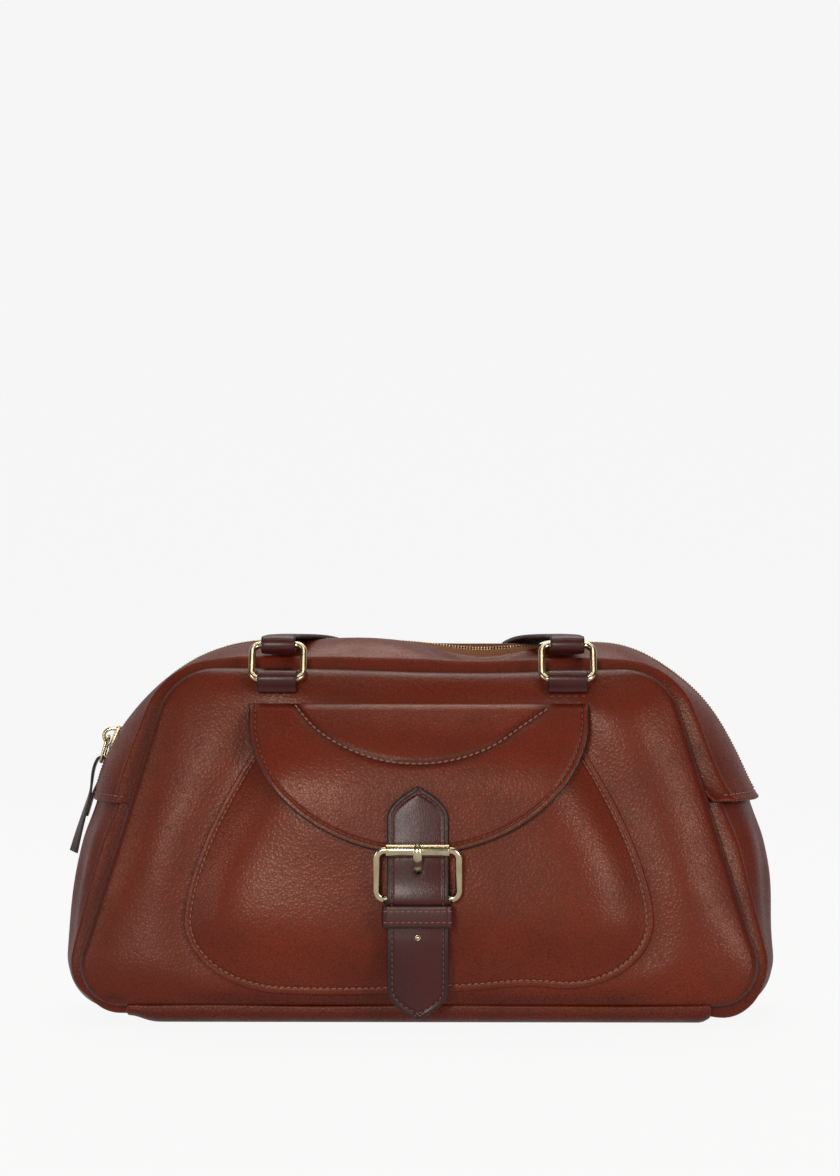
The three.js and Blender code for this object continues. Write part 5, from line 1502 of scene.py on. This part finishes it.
def add_puller():
    bar = pull_ring_place(np.array([PULL_RING.length, 0.0, 0.0]))
    grip = PULL_RING.wire + PULLER.fold_gap + PULLER.leather / 2
    down = unit(np.array([PULLER_FALL[0][0], 0, PULLER_FALL[0][1]]) - bar)
    out = np.array([down[2], 0, -down[0]])
    layer = PULLER.leather + GAP
    stations = [(x + layer, 0, z, *-out) for x, z in PULLER_FALL[::-1] if z >= PULLER.short_end]
    stations += round_bar(bar, grip, np.linspace(-90, 90, 9), -down, out)
    for turn, (x, z) in zip(np.radians(PULLER.turn * np.linspace(0.3, 1, 4)), PULLER_FALL):
        stations.append((x, 0, z, *(out * math.cos(turn) + np.array([0, -math.sin(turn), 0]))))
    section = strap_section(PULLER.half, PULLER.leather, 0.1)
    add_strip("puller_leather", "zip_puller", stations, 0.7, section, [DARK, EDGE, DARK])


add_puller()


# Stage, light and camera
def add_stage():
    near, back, bend, top, half = -3.0, 1.4, 1.2, 5.0, 5.0
    floor = [(near, 0.0), (back, 0.0)]
    for turn in np.linspace(0, np.pi / 2, 24)[1:]:
        floor.append((back + bend * math.sin(turn), bend - bend * math.cos(turn)))
    floor.append((back + bend, top))
    points = [(x, y, z) for y, z in floor for x in (-half, half)]
    faces = [(2 * k, 2 * k + 1, 2 * k + 3, 2 * k + 2) for k in range(len(floor) - 1)]
    mesh = bpy.data.meshes.new("studio_floor")
    mesh.from_pydata(points, [], faces)
    mesh.polygons.foreach_set("use_smooth", np.ones(len(faces), bool))
    material, tree, surface = start_material("studio_paper", Roughness=0.9, Base_Color=(0.04, 0.04, 0.04, 1),
                                             Specular_IOR_Level=0.1, Emission_Color=(1, 1, 1, 1))
    seen = read_node(tree, "Is Camera Ray", "ShaderNodeLightPath")
    glow = ramp_node(tree, seen, 0.0, 1.0, 0.41, 0.908)
    tree.links.new(glow, surface.inputs["Emission Strength"])
    mesh.materials.append(material)
    floor_object = bpy.data.objects.new("studio_floor", mesh)
    bpy.context.scene.collection.objects.link(floor_object)


# Name, place and size in metres, and power of each light, all aimed at one place
LIT_PLACE = (0, 0, 0.1)
SOFTBOXES = [("softbox_front", (-0.45, -2.5, 0.62), (0.5, 0.6), 20.5),
             ("softbox_right", (1.35, -1.75, 0.5), (0.6, 0.8), 15),
             ("softbox_left", (-1.9, -1.1, 0.5), (0.7, 0.9), 6.5),
             ("softbox_top", (0, 0.2, 1.5), (1.4, 0.3), 5),
             ("softbox_high", (0, -0.52, 1.45), (0.9, 0.13), 1.6),
             ("softbox_back", (0, 1.0, 1.8), (1.2, 0.5), 8)]


def add_light(name, place, target, size, power):
    light = bpy.data.lights.new(name, "AREA")
    light.shape = "RECTANGLE"
    light.size, light.size_y = size
    light.energy = power
    light.color = (1.0, 0.95, 0.88)
    lamp = bpy.data.objects.new(name, light)
    lamp.visible_camera = False
    bpy.context.scene.collection.objects.link(lamp)
    away = unit(np.array(place, float) - np.array(target, float))
    right = unit(np.cross((0.0, 0.0, 1.0), away))
    up = np.cross(away, right)
    rows = [(*row, p) for row, p in zip(np.stack([right, up, away], 1).tolist(), place)]
    lamp.matrix_world = Matrix([*rows, (0, 0, 0, 1)])


def add_world():
    world = bpy.data.worlds.new("studio")
    world.use_nodes = True
    tree = world.node_tree
    background = tree.nodes["Background"]
    background.inputs["Color"].default_value = (1, 1, 1, 1)
    seen = read_node(tree, "Is Camera Ray", "ShaderNodeLightPath")
    tree.links.new(ramp_node(tree, seen, 0.0, 1.0, 0.06, 0.925), background.inputs["Strength"])
    bpy.context.scene.world = world


def add_camera():
    camera = bpy.data.cameras.new("camera")
    camera.sensor_fit = "VERTICAL"
    camera.sensor_height = 36
    camera.lens = 122.95
    camera.clip_end = 50
    holder = bpy.data.objects.new("camera", camera)
    holder.location = (0.0311, -1.99975, 0.2104)
    holder.rotation_euler = (math.radians(90), 0, math.radians(0.9))
    bpy.context.scene.collection.objects.link(holder)
    bpy.context.scene.camera = holder


add_stage()
for name, place, size, power in SOFTBOXES:
    add_light(name, place, LIT_PLACE, size, power)
add_world()
add_camera()
bpy.context.scene.view_settings.view_transform = "Standard"
